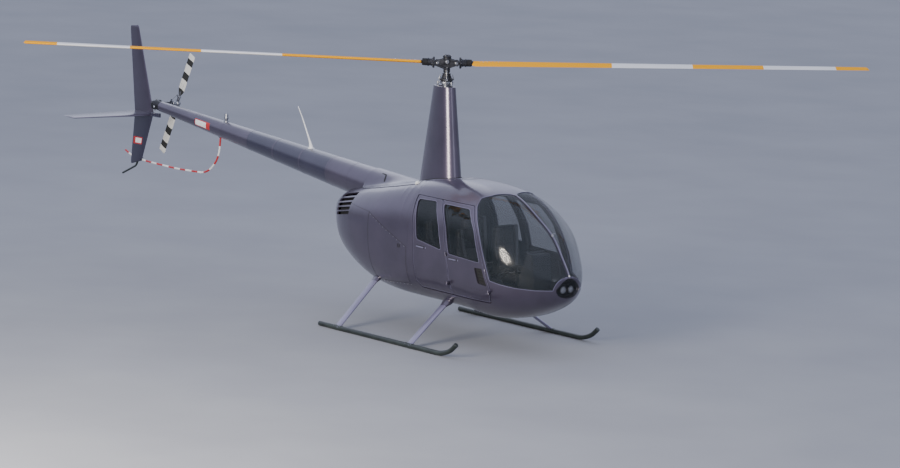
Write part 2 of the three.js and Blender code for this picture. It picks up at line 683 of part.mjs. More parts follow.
// The arm that a swashplate link turns the blade by, and the flange on the blade's root
const HORN = { root: [190, 88, -4], tip: [0, 105, -66], radius: 12 };
const FLANGE = { radius: 68, aft: 178 };
const bladeStart = HUB_HALF + SEAT + FLANGE.radius * Math.sin(radians(CONING));
const BLADE_STATIONS = [
  // radius, chord, thickness share, twist in degrees
  [285, 120, 0.32, 6], [345, BLADE_CHORD, 0.14, 6],
  [2600, BLADE_CHORD, 0.12, 3], [ROTOR_RADIUS, BLADE_CHORD, 0.12, 0],
];
const mainBlade = sum(
  bar([bladeStart, 0, 0], [FLANGE.aft, 0, 0], FLANGE.radius, 20),
  bar([FLANGE.aft - 10, 0, 0], [310, 0, 0], 44, 16, 34),
  bar([190, 30, 0], HORN.root, 14, 10),
  bar(HORN.root, HORN.tip, HORN.radius, 10),
  loft(BLADE_STATIONS.map(([radius, chord, thickness, twist]) => {
    const tilt = radians(twist);
    const across = new THREE.Vector3(0, Math.cos(tilt), Math.sin(tilt));
    const up = new THREE.Vector3(0, -Math.sin(tilt), Math.cos(tilt));
    const leading = new THREE.Vector3(radius, 0, 0).addScaledVector(across, chord * 0.3);
    const trailing = new THREE.Vector3(radius, 0, 0).addScaledVector(across, -chord * 0.7);
    return wingRing(leading.toArray(), trailing.toArray(), thickness, up);
  })));
function bladeMatrix(turn) {
  return new THREE.Matrix4().makeTranslation(0, 0, HUB_Z)
    .multiply(new THREE.Matrix4().makeRotationZ(radians(BLADE_AZIMUTH + turn)))
    .multiply(new THREE.Matrix4().makeRotationY(-radians(CONING)));
}

// Swashplate: the fixed half on its stand, the turning half with its links on the shaft
const STAND = { bore: 36, outer: 46, top: 3012 };
const PLATE = { radius: 84, fixedLow: 2990, turningLow: 3020, turningHigh: 3045 };
const COLLAR = { top: 3105, low: 62, high: 46 };
const LINK = { reach: 105, radius: 9, top: HUB_Z + HORN.tip[2] - HORN.radius - SEAT };
const swashStand = sum(
  bar([0, 0, GEARBOX_TOP + SEAT], [0, 0, STAND.top], STAND.outer, 20),
  bar([0, 0, PLATE.fixedLow], [0, 0, STAND.top], PLATE.radius, 24))
  .subtract(bar([0, 0, GEARBOX_TOP - 20], [0, 0, STAND.top + 20], STAND.bore, 20));
const swashRotor = sum(
  bar([0, 0, PLATE.turningLow], [0, 0, PLATE.turningHigh], PLATE.radius, 24),
  bar([0, 0, PLATE.turningHigh - 5], [0, 0, COLLAR.top], COLLAR.low, 20, COLLAR.high),
  ...[LINK.reach, -LINK.reach].map((x) => bar([x, 0, PLATE.turningLow + 4], [x, 0, LINK.top],
    LINK.radius, 10)),
  block([-LINK.reach, -12, PLATE.turningLow + 3], [LINK.reach, 12, PLATE.turningHigh - 3]))
  .subtract(bar([0, 0, PLATE.turningLow - 20], [0, 0, COLLAR.top + 20], SHAFT_RADIUS + SEAT, 20));

// Gearbox and engine, plain blocks carried by the firewall
const mainGearbox = sum(
  bar([0, 0, 1190], [0, 0, GEARBOX_TOP], 140, 20),
  block([60, -90, 1230], [CABIN_AFT - SEAT, 90, 1360]));
const engine = sum(
  block([-800, -400, 660], [-110, 400, 1040]),
  block([-120, -280, 760], [CABIN_AFT - SEAT, -220, 840]),
  block([-120, 220, 760], [CABIN_AFT - SEAT, 280, 840]));
const EXHAUST = [[-740, 170, 660 - SEAT], [-740, 170, 560], [-900, 170, 500]];
const exhaust = tubeAlong(bentPath(EXHAUST, 80), 36, 12);

// Skids and their struts
const TRACK = TREAD / 2;
const SKID_PATH = bentPath([[-910, 0, 0], [1390, 0, 0], [1560, 0, 55], [1665, 0, 145]], 150, 3);
const tubeDrop = TUBE_RADIUS * Math.cos(Math.PI / TUBE_SIDES);
function skidTube(radius, sides = TUBE_SIDES) {
  return tubeAlong(SKID_PATH.map(([x, , z]) => [x, -TRACK, z + tubeDrop]), radius, sides);
}
const STRUTS = {
  front: { top: [700, -430, 505], foot: [806, -1112, 30] },
  aft: { top: [-660, -390, 610], foot: [-552, -1112, 30] },
};
const STRUT_FOOT = 12;
const STRUT = { sides: 16, chord: 104, spread: 26, height: 34 };
function strut({ top, foot }) {
  const ring = ([x, y, z]) => Array.from({ length: STRUT.sides }, (_, i) => {
    const angle = (2 * Math.PI * i) / STRUT.sides;
    const across = Math.sin(angle) / 2;
    return new THREE.Vector3(x + (STRUT.chord / 2) * Math.cos(angle), y + STRUT.spread * across,
      z + STRUT.height * across);
  });
  return loft([ring(top), ring(foot)])
    .subtract(clearSkin)
    .subtract(skidTube(TUBE_RADIUS + SEAT))
    .subtract(block([ASTERN, -1500, -200], [AHEAD, -TRACK, 400]))
    .subtract(block([ASTERN, -1500, -200], [AHEAD, 0, STRUT_FOOT]));
}

// Guard and skid below the tail rotor
const GUARD = [[-4470, 0, 1790], [-4500, 0, 1500], [-4740, 0, 1280], [-5400, 0, 1255], [-6134, 20, 1263],
  [-6428, 26, 1290], [-6578, 26, 1349]];
const GUARD_RADIUS = 12;
const guard = tubeAlong(bentPath(GUARD, 160, 3), GUARD_RADIUS, 10)
  .subtract(coneSolid(SEAT, 3))
  .subtract(clearFin);
const tailSkid = tubeAlong(bentPath([[-6270, 0, 1232], [-6302, 0, 1180], [-6602, 0, 1045]], 40, 2), 13, 10)
  .subtract(clearFin);

// Small fittings
const antenna = sum(
  bar([-2590, 0, 1870], [-2610, 0, 1925], 17, 12, 8),
  bar([-2610, 0, 1915], [-2876, 0, 2368], 7, 8, 4)).subtract(coneSolid(SEAT, 3));
const beacon = bar([-4360, 0, 1930], [-4360, 0, 2110], 22, 16, 18).subtract(coneSolid(SEAT, 3));
const FLOOR_TOP = 520;
const CONSOLE = [
  [1560, FLOOR_TOP + SEAT], [1860, FLOOR_TOP + SEAT], [1890, 900], [1850, 1180], [1760, 1190], [1640, 930],
];
const instrumentConsole = sidePrism(rounded(CONSOLE, 30, 2), -140, 140);
const cyclic = sum(
  bar([1452, 0, 500], [1400, 0, 975], 15, 10),
  bar([1400, -290, 975], [1400, 290, 975], 12, 10),
  bar([1400, -280, 975], [1390, -280, 1080], 15, 10),
  bar([1400, 280, 975], [1390, 280, 1080], 15, 10))
  .subtract(block([1300, -100, 400], [1600, 100, 520 + SEAT]));

const object = new THREE.Group();

// Finish of each kind of surface: colour, roughness, metalness
const FINISH = {
  paint: [0x5b5868, 0.32, 0.5],
  glass: [0x2c3338, 0.08, 0.0],
  lining: [0x2a2a2c, 0.8, 0.0],
  metal: [0x8d8f94, 0.4, 0.8],
  dark: [0x1d2422, 0.5, 0.4],
  yellow: [0xf3b50d, 0.4, 0.0],
  leather: [0x1c1c1e, 0.7, 0.0],
  white: [0xe6e6e4, 0.5, 0.0],
  red: [0xb3231f, 0.45, 0.0],
};

function add(name, body, finish) {
  const [color, roughness, metalness] = FINISH[finish];
  const material = new THREE.MeshStandardMaterial({ color, roughness, metalness });
  const mesh = new THREE.Mesh(geometryOf(body), material);
  mesh.name = name;
  object.add(mesh);
}

function addPair(name, starboard, finish) {
  add(`${name}_right`, starboard, finish);
  add(`${name}_left`, mirrored(starboard), finish);
}

add('cabin_shell', cabinShell, 'paint');
add('cabin_belly', cabinBelly, 'paint');
add('engine_cowl_right', cowlRight, 'paint');
add('engine_cowl_left', cowlLeft, 'paint');
add('nose_lamps', noseLamps, 'dark');
add('cabin_floor', cabinFloor, 'lining');
addPair('windscreen', windscreenHalf, 'glass');
addPair('door_front', frontDoor, 'paint');
addPair('door_aft', aftDoor, 'paint');
addPair('window_front', pane(FRONT_WINDOW), 'glass');
addPair('window_aft', pane(REAR_WINDOW), 'glass');
add('mast_fairing', mastFairing, 'paint');
add('tail_cone_fairing', coneFairing, 'paint');
add('tail_cone', tailCone, 'paint');
add('vertical_fin', verticalFin, 'paint');
add('horizontal_stabilizer', stabilizer, 'paint');
add('tail_gearbox', tailGearbox, 'dark');
add('tail_rotor_hub', tailHub, 'metal');
add('tail_rotor_blade_1', tailBlade(0), 'white');
add('tail_rotor_blade_2', tailBlade(180), 'white');
add('tail_rotor_guard', guard, 'red');
add('tail_skid', tailSkid, 'dark');
add('rotor_shaft', shaft, 'metal');
add('rotor_hub', rotorHub, 'metal');
add('main_blade_1', moved(mainBlade, bladeMatrix(0)), 'yellow');
add('main_blade_2', moved(mainBlade, bladeMatrix(180)), 'yellow');
const linkTurn = new THREE.Matrix4().makeRotationZ(radians(BLADE_AZIMUTH + 90));
add('swashplate_turning', moved(swashRotor, linkTurn), 'metal');
add('swashplate_stand', swashStand, 'metal');
add('main_gearbox', mainGearbox, 'metal');
add('engine_block', engine, 'metal');
add('exhaust_pipe', exhaust, 'metal');
addPair('skid_tube', skidTube(TUBE_RADIUS), 'dark');
addPair('strut_front', strut(STRUTS.front), 'paint');
addPair('strut_aft', strut(STRUTS.aft), 'paint');
addPair('seat_cushion_front', cushion(1340, 815), 'leather');
addPair('seat_back_front', seatBack(1340, 815), 'leather');
addPair('seat_cushion_aft', cushion(750, 835), 'leather');
addPair('seat_back_aft', seatBack(750, 835), 'leather');
add('instrument_console', instrumentConsole, 'lining');
add('cyclic_stick', cyclic, 'dark');
add('whip_antenna', antenna, 'white');
add('beacon', beacon, 'metal');

const box = new THREE.Box3().setFromObject(object);
object.position.x = -(box.min.x + box.max.x) / 2;
object.updateMatrixWorld(true);

export default object;
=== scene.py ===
"""A light four-seat helicopter with two main blades, parked on its skids on a pale floor."""
import math

import bmesh
import bpy
from bpy.props import PointerProperty, StringProperty
from mathutils import Matrix, Vector


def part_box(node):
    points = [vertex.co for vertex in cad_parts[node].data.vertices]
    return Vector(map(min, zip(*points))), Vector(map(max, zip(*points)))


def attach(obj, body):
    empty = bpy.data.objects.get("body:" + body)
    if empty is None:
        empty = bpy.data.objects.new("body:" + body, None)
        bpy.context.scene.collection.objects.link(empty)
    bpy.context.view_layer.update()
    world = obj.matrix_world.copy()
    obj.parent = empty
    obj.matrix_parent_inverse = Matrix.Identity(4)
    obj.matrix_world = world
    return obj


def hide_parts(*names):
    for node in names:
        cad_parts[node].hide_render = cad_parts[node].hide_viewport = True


bl_info = {
    "name": "Light helicopter",
    "version": (1, 0, 0),
    "blender": (4, 5, 0),
    "location": "3D View > Sidebar > Helicopter",
    "description": "Dresses the helicopter's frame with its finished pieces",
    "category": "Object",
}

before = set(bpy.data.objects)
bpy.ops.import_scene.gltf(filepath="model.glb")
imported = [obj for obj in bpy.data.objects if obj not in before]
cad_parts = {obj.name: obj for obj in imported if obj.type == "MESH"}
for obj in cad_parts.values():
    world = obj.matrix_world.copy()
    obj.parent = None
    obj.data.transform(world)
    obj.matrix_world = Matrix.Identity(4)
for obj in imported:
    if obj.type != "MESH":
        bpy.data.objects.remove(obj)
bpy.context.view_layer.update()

# Places are measured from a point on the floor under the main rotor's axis, as in the part's
# source; MAST_X moves them into the frame.
SHAFT_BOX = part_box("rotor_shaft")
MAST_X = (SHAFT_BOX[0].x + SHAFT_BOX[1].x) / 2

AIRFRAME = "airframe"
MAIN_ROTOR = "main_rotor"
TAIL_ROTOR = "tail_rotor"

# Body sections from nose to tail: x, half width, top, bottom, height of the greatest width,
# squareness above that height, squareness below it
BODY = (
    (2.370, 0.030, 0.965, 0.880, 0.920, 2.0, 2.0),
    (2.345, 0.170, 1.030, 0.738, 0.920, 2.0, 2.0),
    (2.250, 0.305, 1.165, 0.636, 0.925, 2.1, 2.1),
    (2.050, 0.467, 1.417, 0.533, 0.955, 2.3, 2.2),
    (1.750, 0.630, 1.620, 0.430, 1.005, 2.75, 2.4),
    (1.400, 0.655, 1.803, 0.375, 1.010, 3.0, 2.6),
    (1.000, 0.648, 1.885, 0.408, 1.030, 2.9, 2.8),
    (0.550, 0.643, 1.905, 0.418, 1.070, 2.8, 2.8),
    (0.100, 0.643, 1.875, 0.420, 1.100, 2.8, 2.8),
    (-0.350, 0.640, 1.780, 0.430, 1.130, 2.8, 2.8),
    (-0.750, 0.618, 1.700, 0.480, 1.150, 2.7, 2.7),
    (-1.100, 0.572, 1.635, 0.586, 1.180, 2.5, 2.5),
    (-1.400, 0.480, 1.560, 0.740, 1.230, 2.4, 2.5),
    (-1.600, 0.355, 1.500, 0.935, 1.250, 2.3, 2.3),
    (-1.700, 0.268, 1.440, 1.070, 1.270, 2.2, 2.2),
    (-1.745, 0.165, 1.378, 1.150, 1.268, 2.1, 2.1),
    (-1.762, 0.008, 1.285, 1.262, 1.272, 2.0, 2.0),
)
CABIN_AFT = 0.150
CABIN_WALL = 0.028
COWL_WALL = 0.020
DOOR_GAP = 0.006
SILL_GAP = 0.014

# Doors, as seen from the side: x, z
DOOR_TOP = 1.700
DOOR_BOTTOM = 0.625
SPLIT = ((0.646, DOOR_TOP), (0.794, 1.460), (0.861, 1.200), (0.926, 0.900), (0.958, DOOR_BOTTOM))
SPLIT_GAP = 0.010
FRONT_EDGE = ((1.205, DOOR_TOP), (1.396, 1.430), (1.566, 1.090), (1.648, 0.890), (1.682, 0.785))
FRONT_CORNER = (1.625, DOOR_BOTTOM)
AFT_EDGE = ((0.182, DOOR_TOP), (0.215, 1.450), (0.262, 1.180), (0.275, 0.900), (0.285, 0.700))
AFT_CORNER = (0.350, DOOR_BOTTOM)
AFT_RELIEF = (0.010, 0.003, 0.0, 0.0, 0.0)
FRONT_WINDOW = ((0.700, 1.662), (1.165, 1.660), (1.353, 1.430), (1.505, 1.082), (0.925, 1.106),
                (0.845, 1.401))
REAR_WINDOW = ((0.222, 1.660), (0.556, 1.672), (0.702, 1.400), (0.785, 1.130), (0.322, 1.198))
WINDOW_RADIUS = 0.038

# Windscreen: its aft edge from the sill up as x, z, its brow as x and distance from the middle,
# its sill from the bow aft as x, z, and the half width of the bow
SCREEN_AFT = ((1.610, 1.086), (1.516, 1.284), (1.432, 1.440), (1.309, 1.625), (1.240, 1.708))
BROW = ((1.198, 0.401), (1.251, 0.309), (1.277, 0.180), (1.313, 0.056), (1.352, 0.015))
SCREEN_SILL = ((2.361, 0.991), (2.318, 0.838), (2.177, 0.831), (1.983, 0.841), (1.825, 0.867),
               (1.686, 0.896))
BOW = 0.015
BOW_STEPS = 60
GLASS = 0.005

# Tail cone: x, height of its axis, radius
CONE = ((-1.150, 1.570, 0.217), (-5.760, 2.018, 0.066))

STARBOARD = -1
PORT = 1
SIDES = (("right", STARBOARD), ("left", PORT))

QUARTER_TURN = math.pi / 2
SIDEWAYS = Vector((0, 1, 0))
ROUND_SIDES = 64
ROUND_ANGLES = tuple(2 * math.pi * i / ROUND_SIDES for i in range(ROUND_SIDES))


def from_mast(x, y, z):
    """A place in the frame, from one measured from the mast."""
    return Vector((x + MAST_X, y, z))


# Materials


def colour(code):
    """A linear colour from its sRGB hex value."""
    parts = [int(code[i:i + 2], 16) / 255 for i in (1, 3, 5)]
    return tuple(c / 12.92 if c <= 0.04045 else ((c + 0.055) / 1.055) ** 2.4 for c in parts) + (1.0,)


def add_node(tree, kind, values=None, links=None, **settings):
    """A node with its settings, its sockets' values and the links into it."""
    made = tree.nodes.new(kind)
    for name, value in settings.items():
        setattr(made, name, value)
    for name, value in (values or {}).items():
        made.inputs[name].default_value = value
    for name, source in (links or {}).items():
        tree.links.new(source, made.inputs[name])
    return made


def blank_material(name, values):
    """A material with its shader set to the given values, and its object coordinates."""
    material = bpy.data.materials.new(name)
    material.use_nodes = True
    tree = material.node_tree
    shader = tree.nodes["Principled BSDF"]
    for key, value in values.items():
        shader.inputs[key].default_value = value
    place = add_node(tree, "ShaderNodeTexCoord").outputs["Object"]
    return material, tree, shader, place


def noise(tree, place, size, detail=3.0):
    """A noise whose cells are about size metres across."""
    return add_node(tree, "ShaderNodeTexNoise", {"Scale": 1 / size, "Detail": detail}, {"Vector": place})


def bumped(tree, shader, height, strength, distance):
    """Raises the surface by a height pattern."""
    bump = add_node(tree, "ShaderNodeBump", {"Strength": strength, "Distance": distance},
                    {"Height": height})
    tree.links.new(bump.outputs["Normal"], shader.inputs["Normal"])


def tinted(tree, shader, pattern, low, high, socket="Base Color", start=0.3, end=0.7):
    """Runs a socket between two values along a pattern."""
    ramp = add_node(tree, "ShaderNodeValToRGB", links={"Fac": pattern})
    ramp.color_ramp.elements[0].position = start
    ramp.color_ramp.elements[1].position = end
    if isinstance(low, float):
        low, high = (low,) * 3 + (1.0,), (high,) * 3 + (1.0,)
    ramp.color_ramp.elements[0].color = low
    ramp.color_ramp.elements[1].color = high
    tree.links.new(ramp.outputs["Color"], shader.inputs[socket])


def metallic_paint(name, dark, light, roughness=0.32, metallic=0.70):
    """Sprayed metallic enamel under clear lacquer: soft colour from the flakes, sharp gloss above."""
    material, tree, shader, place = blank_material(name, {
        "Metallic": metallic, "Coat Weight": 1.0, "Coat Roughness": 0.19, "Coat IOR": 1.6,
        "Specular IOR Level": 0.4})
    clouds = noise(tree, place, 0.35)
    tinted(tree, shader, clouds.outputs["Fac"], dark, light)
    flakes = noise(tree, place, 0.004, 1.0)
    tinted(tree, shader, flakes.outputs["Fac"], roughness - 0.04, roughness + 0.06, "Roughness")
    waves = noise(tree, place, 0.03, 1.0)
    bumped(tree, shader, waves.outputs["Fac"], 0.06, 0.001)
    return material


def body_paint():
    paint = bpy.context.scene.helicopter_colours
    return metallic_paint("Violet-grey metallic enamel", colour(paint.body), colour(paint.body_light))


def strut_paint():
    paint = bpy.context.scene.helicopter_colours
    return metallic_paint("Pale lilac enamel", colour(paint.strut), colour(paint.strut_light), 0.34, 0.35)


def band_paint():
    return metallic_paint("Dark violet enamel", colour("#26243A"), colour("#2F2D42"), 0.34, 0.4)


def skid_paint():
    """Epoxy over steel tube: dark, half gloss, duller where boots and grass rub it."""
    material, tree, shader, place = blank_material("Black-green epoxy", {
        "Metallic": 0.1, "Coat Weight": 0.3, "Coat Roughness": 0.2})
    wear = noise(tree, place, 0.12, 6.0)
    tinted(tree, shader, wear.outputs["Fac"], colour("#161D1A"), colour("#2A332F"))
    tinted(tree, shader, wear.outputs["Fac"], 0.36, 0.6, "Roughness")
    bumped(tree, shader, noise(tree, place, 0.006).outputs["Fac"], 0.12, 0.0006)
    return material


def acrylic():
    """Stretched acrylic sheet, cast clear with a grey tint, so that the cabin shows through it."""
    return blank_material("Tinted acrylic", {
        "Base Color": colour("#1B2226"), "Roughness": 0.03, "Alpha": 0.34, "Coat Weight": 0.6,
        "Coat Roughness": 0.02, "IOR": 1.49})[0]


def screen_acrylic():
    """The windscreen's sheet, clearer than the side windows."""
    return blank_material("Clear acrylic", {
        "Base Color": colour("#2A3238"), "Roughness": 0.12, "Alpha": 0.24, "Coat Weight": 0.6,
        "Coat Roughness": 0.10, "IOR": 1.49})[0]


def lining():
    """Vacuum-formed ABS trim with a fine haircell grain."""
    material, tree, shader, place = blank_material("Charcoal ABS", {"Roughness": 0.62})
    grain = add_node(tree, "ShaderNodeTexVoronoi", {"Scale": 1 / 0.006}, {"Vector": place})
    tinted(tree, shader, noise(tree, place, 0.2).outputs["Fac"], colour("#232427"), colour("#2E2F33"))
    bumped(tree, shader, grain.outputs["Distance"], 0.25, 0.0006)
    return material


def rubber():
    """Extruded seal, matt with a dusty bloom."""
    material, tree, shader, place = blank_material("Seal rubber", {"Roughness": 0.75})
    tinted(tree, shader, noise(tree, place, 0.02).outputs["Fac"], colour("#0E0E0F"), colour("#1A1A1C"))
    bumped(tree, shader, noise(tree, place, 0.003).outputs["Fac"], 0.2, 0.0004)
    return material


def bare_alloy():
    """Machined aluminium with fine tool marks."""
    material, tree, shader, place = blank_material("Machined aluminium", {"Metallic": 1.0})
    marks = add_node(tree, "ShaderNodeTexNoise", {"Scale": 90.0, "Detail": 4.0, "Distortion": 0.3},
                     {"Vector": place})
    tinted(tree, shader, marks.outputs["Fac"], colour("#7C7E83"), colour("#A9ABB0"))
    tinted(tree, shader, marks.outputs["Fac"], 0.28, 0.48, "Roughness")
    bumped(tree, shader, marks.outputs["Fac"], 0.15, 0.0005)
    return material


def dark_alloy():
    """Sprayed grey-black forging, oily in its corners."""
    material, tree, shader, place = blank_material("Dark grey forging", {"Metallic": 0.55})
    oil = noise(tree, place, 0.04, 5.0)
    tinted(tree, shader, oil.outputs["Fac"], colour("#1F2023"), colour("#3C3D42"))
    tinted(tree, shader, oil.outputs["Fac"], 0.32, 0.6, "Roughness")
    bumped(tree, shader, noise(tree, place, 0.005).outputs["Fac"], 0.2, 0.0006)
    return material


def bright_steel():
    """Ground steel of shafts and bolts."""
    material, tree, shader, place = blank_material("Ground steel", {"Metallic": 1.0})
    marks = noise(tree, place, 0.004, 4.0)
    tinted(tree, shader, marks.outputs["Fac"], colour("#8B8C8E"), colour("#B4B5B6"))
    tinted(tree, shader, marks.outputs["Fac"], 0.2, 0.4, "Roughness")
    return material


def cast_alloy():
    """Sand-cast aluminium of the engine's case, grey and grainy."""
    material, tree, shader, place = blank_material("Cast aluminium", {"Metallic": 0.8})
    sand = noise(tree, place, 0.004, 5.0)
    tinted(tree, shader, sand.outputs["Fac"], colour("#5B5C5E"), colour("#77787A"))
    tinted(tree, shader, sand.outputs["Fac"], 0.5, 0.7, "Roughness")
    bumped(tree, shader, sand.outputs["Fac"], 0.4, 0.001)
    return material


def leather():
    """Dark seat leather with a pebbled grain."""
    material, tree, shader, place = blank_material("Black leather", {"Coat Weight": 0.1})
    grain = add_node(tree, "ShaderNodeTexVoronoi", {"Scale": 1 / 0.005}, {"Vector": place})
    tinted(tree, shader, noise(tree, place, 0.1).outputs["Fac"], colour("#1D1B1C"), colour("#2B2829"))
    tinted(tree, shader, grain.outputs["Distance"], 0.42, 0.6, "Roughness")
    bumped(tree, shader, grain.outputs["Distance"], 0.35, 0.0008)
    return material


def webbing():
    """Woven polyester belt, ribbed across its width."""
    material, tree, shader, place = blank_material("Grey webbing", {"Roughness": 0.8, "Sheen Weight": 0.3})
    weave = add_node(tree, "ShaderNodeTexWave", {"Scale": 1 / 0.012}, {"Vector": place})
    tinted(tree, shader, weave.outputs["Fac"], colour("#3A3B40"), colour("#55565C"))
    bumped(tree, shader, weave.outputs["Fac"], 0.4, 0.0008)
    return material


def plain_paint(name, low, high, roughness=0.4):
    """Gloss enamel in one colour, a little chalky with age."""
    material, tree, shader, place = blank_material(name, {"Coat Weight": 0.3, "Coat Roughness": 0.12})
    chalk = noise(tree, place, 0.15, 5.0)
    tinted(tree, shader, chalk.outputs["Fac"], colour(low), colour(high))
    tinted(tree, shader, chalk.outputs["Fac"], roughness - 0.06, roughness + 0.1, "Roughness")
    bumped(tree, shader, noise(tree, place, 0.01).outputs["Fac"], 0.06, 0.0004)
    return material


def white_paint():
    return plain_paint("White enamel", "#DEDEDA", "#EDEDEA")


def red_paint():
    return plain_paint("Red enamel", "#A3171A", "#BC2623")


def banded_paint(name, centre, flat, bands, roughness=0.55):
    """Enamel in bands at set distances from an axis: each band is its outer radius and colour.
    flat names the axis that the distance leaves out."""
    material, tree, shader, place = blank_material(name, {"Specular IOR Level": 0.02})
    offset = add_node(tree, "ShaderNodeVectorMath", links={0: place}, operation="SUBTRACT")
    offset.inputs[1].default_value = centre
    mask = add_node(tree, "ShaderNodeVectorMath", links={0: offset.outputs[0]}, operation="MULTIPLY")
    mask.inputs[1].default_value = tuple(0.0 if axis == flat else 1.0 for axis in "xyz")
    length = add_node(tree, "ShaderNodeVectorMath", links={0: mask.outputs[0]}, operation="LENGTH")
    reach = bands[-1][0]
    share = add_node(tree, "ShaderNodeMath", links={0: length.outputs["Value"]}, operation="DIVIDE")
    share.inputs[1].default_value = reach
    ramp = add_node(tree, "ShaderNodeValToRGB", links={"Fac": share.outputs[0]})
    ramp.color_ramp.interpolation = "CONSTANT"
    stops = ramp.color_ramp.elements
    start = 0.0
    for i, (outer, code) in enumerate(bands):
        stop = stops[i] if i < 2 else stops.new(start)
        stop.position = start
        stop.color = colour(code)
        start = min(0.9999, outer / reach)
    dirt = noise(tree, place, 0.25, 6.0)
    worn = add_node(tree, "ShaderNodeMix", data_type="RGBA", blend_type="MULTIPLY")
    worn.inputs["Factor"].default_value = 0.16
    tree.links.new(ramp.outputs["Color"], worn.inputs[6])
    tree.links.new(dirt.outputs["Fac"], worn.inputs[7])
    tree.links.new(worn.outputs[2], shader.inputs["Base Color"])
    tinted(tree, shader, dirt.outputs["Fac"], roughness - 0.06, roughness + 0.12, "Roughness")
    bumped(tree, shader, noise(tree, place, 0.01).outputs["Fac"], 0.06, 0.0004)
    return material


# Bands of a main blade from its root out: share of the rotor's radius where each ends, paint
ROTOR_RADIUS = 5.03
DARK_ROOT = "#26262B"
MAIN_BANDS = ((0.06, "root"), (0.39, "yellow"), (0.58, "white"), (0.75, "yellow"), (0.92, "white"),
              (1.0, "yellow"))
TAIL_PAINTS = {"white": "#E2E2DA", "dark": "#3A3B3A"}
# Bands of a tail blade from its root out: radius where each ends, paint
TAIL_BANDS = ((0.22, "dark"), (0.36, "white"), (0.46, "dark"), (0.58, "white"), (0.66, "dark"),
              (0.80, "white"))
TAIL_ROTOR_PLACE = (-5.893, 0.338, 2.027)


def blade_paint():
    paint = bpy.context.scene.helicopter_colours
    codes = {"root": DARK_ROOT, "yellow": paint.blade, "white": paint.band}
    bands = [(share * ROTOR_RADIUS, codes[name]) for share, name in MAIN_BANDS]
    return banded_paint("Banded blade enamel", (MAST_X, 0.0, 0.0), "z", bands)


def tail_blade_paint():
    bands = [(outer, TAIL_PAINTS[name]) for outer, name in TAIL_BANDS]
    return banded_paint("Banded tail blade enamel", tuple(from_mast(*TAIL_ROTOR_PLACE)), "y", bands)


def lens_painted_highlight():
    """Moulded polycarbonate over the lamps, frosted pale; its pale tint is a painted highlight that stands
    for the lamps' bright reflectors.
    """
    return blank_material("Pale polycarbonate with painted highlight", {
        "Base Color": colour("#D5D9E4"), "Roughness": 0.12, "Alpha": 0.8, "Coat Weight": 0.5,
        "IOR": 1.58})[0]


def lamp_cover():
    """Smoked polycarbonate in front of the lamps."""
    return blank_material("Smoked polycarbonate", {
        "Base Color": colour("#15181A"), "Roughness": 0.05, "Alpha": 0.26, "Coat Weight": 0.6,
        "IOR": 1.58})[0]


def carpet():
    """Short looped pile, flecked."""
    material, tree, shader, place = blank_material("Grey carpet", {"Roughness": 0.95, "Sheen Weight": 0.25})
    pile = noise(tree, place, 0.004, 2.0)
    tinted(tree, shader, pile.outputs["Fac"], colour("#242528"), colour("#3D3E43"))
    bumped(tree, shader, pile.outputs["Fac"], 0.6, 0.003)
    return material


def dial_face():
    """Matt black face of an instrument."""
    material, tree, shader, place = blank_material("Matt black dial", {"Roughness": 0.55})
    tinted(tree, shader, noise(tree, place, 0.01).outputs["Fac"], colour("#0B0B0C"), colour("#121214"))
    return material


def chrome():
    return blank_material("Chromed reflector", {
        "Base Color": colour("#E4E6E8"), "Metallic": 1.0, "Roughness": 0.08})[0]


MATERIALS = {
    "paint": body_paint, "strut": strut_paint, "band": band_paint, "skid": skid_paint,
    "acrylic": acrylic, "screen": screen_acrylic, "lining": lining, "rubber": rubber,
    "alloy": bare_alloy, "forging": dark_alloy, "steel": bright_steel, "cast": cast_alloy,
    "leather": leather, "webbing": webbing, "white": white_paint, "red": red_paint,
    "blade": blade_paint, "tail_blade": tail_blade_paint, "lens_painted_highlight": lens_painted_highlight, "chrome": chrome,
    "lamp_cover": lamp_cover, "carpet": carpet, "dial": dial_face,
}
made_materials = {}


def finish_of(key):
    """The material of that key, made the first time that it is asked for."""
    if key not in made_materials:
        made_materials[key] = MATERIALS[key]()
    return made_materials[key]


# Mesh tools


def loft(bm, rings, caps=True, material=0):
    """A skin over rings of the same number of places; the material may depend on the ring's number."""
    around, along = len(rings[0]), len(rings)
    made = bmesh.ops.create_grid(bm, x_segments=around, y_segments=along - 1, size=1.0)["verts"]
    spots = {}
    number = {}
    for vert in made:
        i = round((vert.co.x + 1) / 2 * around)
        j = round((vert.co.y + 1) / 2 * (along - 1))
        spots[i, j] = vert
        number[vert] = j
        vert.co = rings[j][i % around]
    pick = material if callable(material) else lambda ring: material
    for face in {f for v in made for f in v.link_faces}:
        face.material_index = pick(min(number[v] for v in face.verts))
    bmesh.ops.weld_verts(bm, targetmap={spots[around, j]: spots[0, j] for j in range(along)})
    if caps:
        for j, ring in ((0, 0), (along - 1, along - 2)):
            end = [spots[i, j] for i in range(around)]
            edges = [bm.edges.get(pair) for pair in zip(end, end[1:] + end[:1])]
            for face in bmesh.ops.contextual_create(bm, geom=edges)["faces"]:
                face.material_index = pick(ring)


def across(direction, hint=Vector((0, 0, 1))):
    """Two directions square to the given one and to each other."""
    direction = direction.normalized()
    if abs(direction.dot(hint)) > 0.95:
        hint = Vector((0, 1, 0))
    side = direction.cross(hint).normalized()
    return side, side.cross(direction).normalized()


def round_ring(centre, direction, radius, sides, hint=Vector((0, 0, 1))):
    side, up = across(direction, hint)
    return [centre + side * radius * math.cos(2 * math.pi * i / sides)
            + up * radius * math.sin(2 * math.pi * i / sides) for i in range(sides)]


def heading(path, i):
    """The way that a path runs at its place number i."""
    return path[min(i + 1, len(path) - 1)] - path[max(i - 1, 0)]


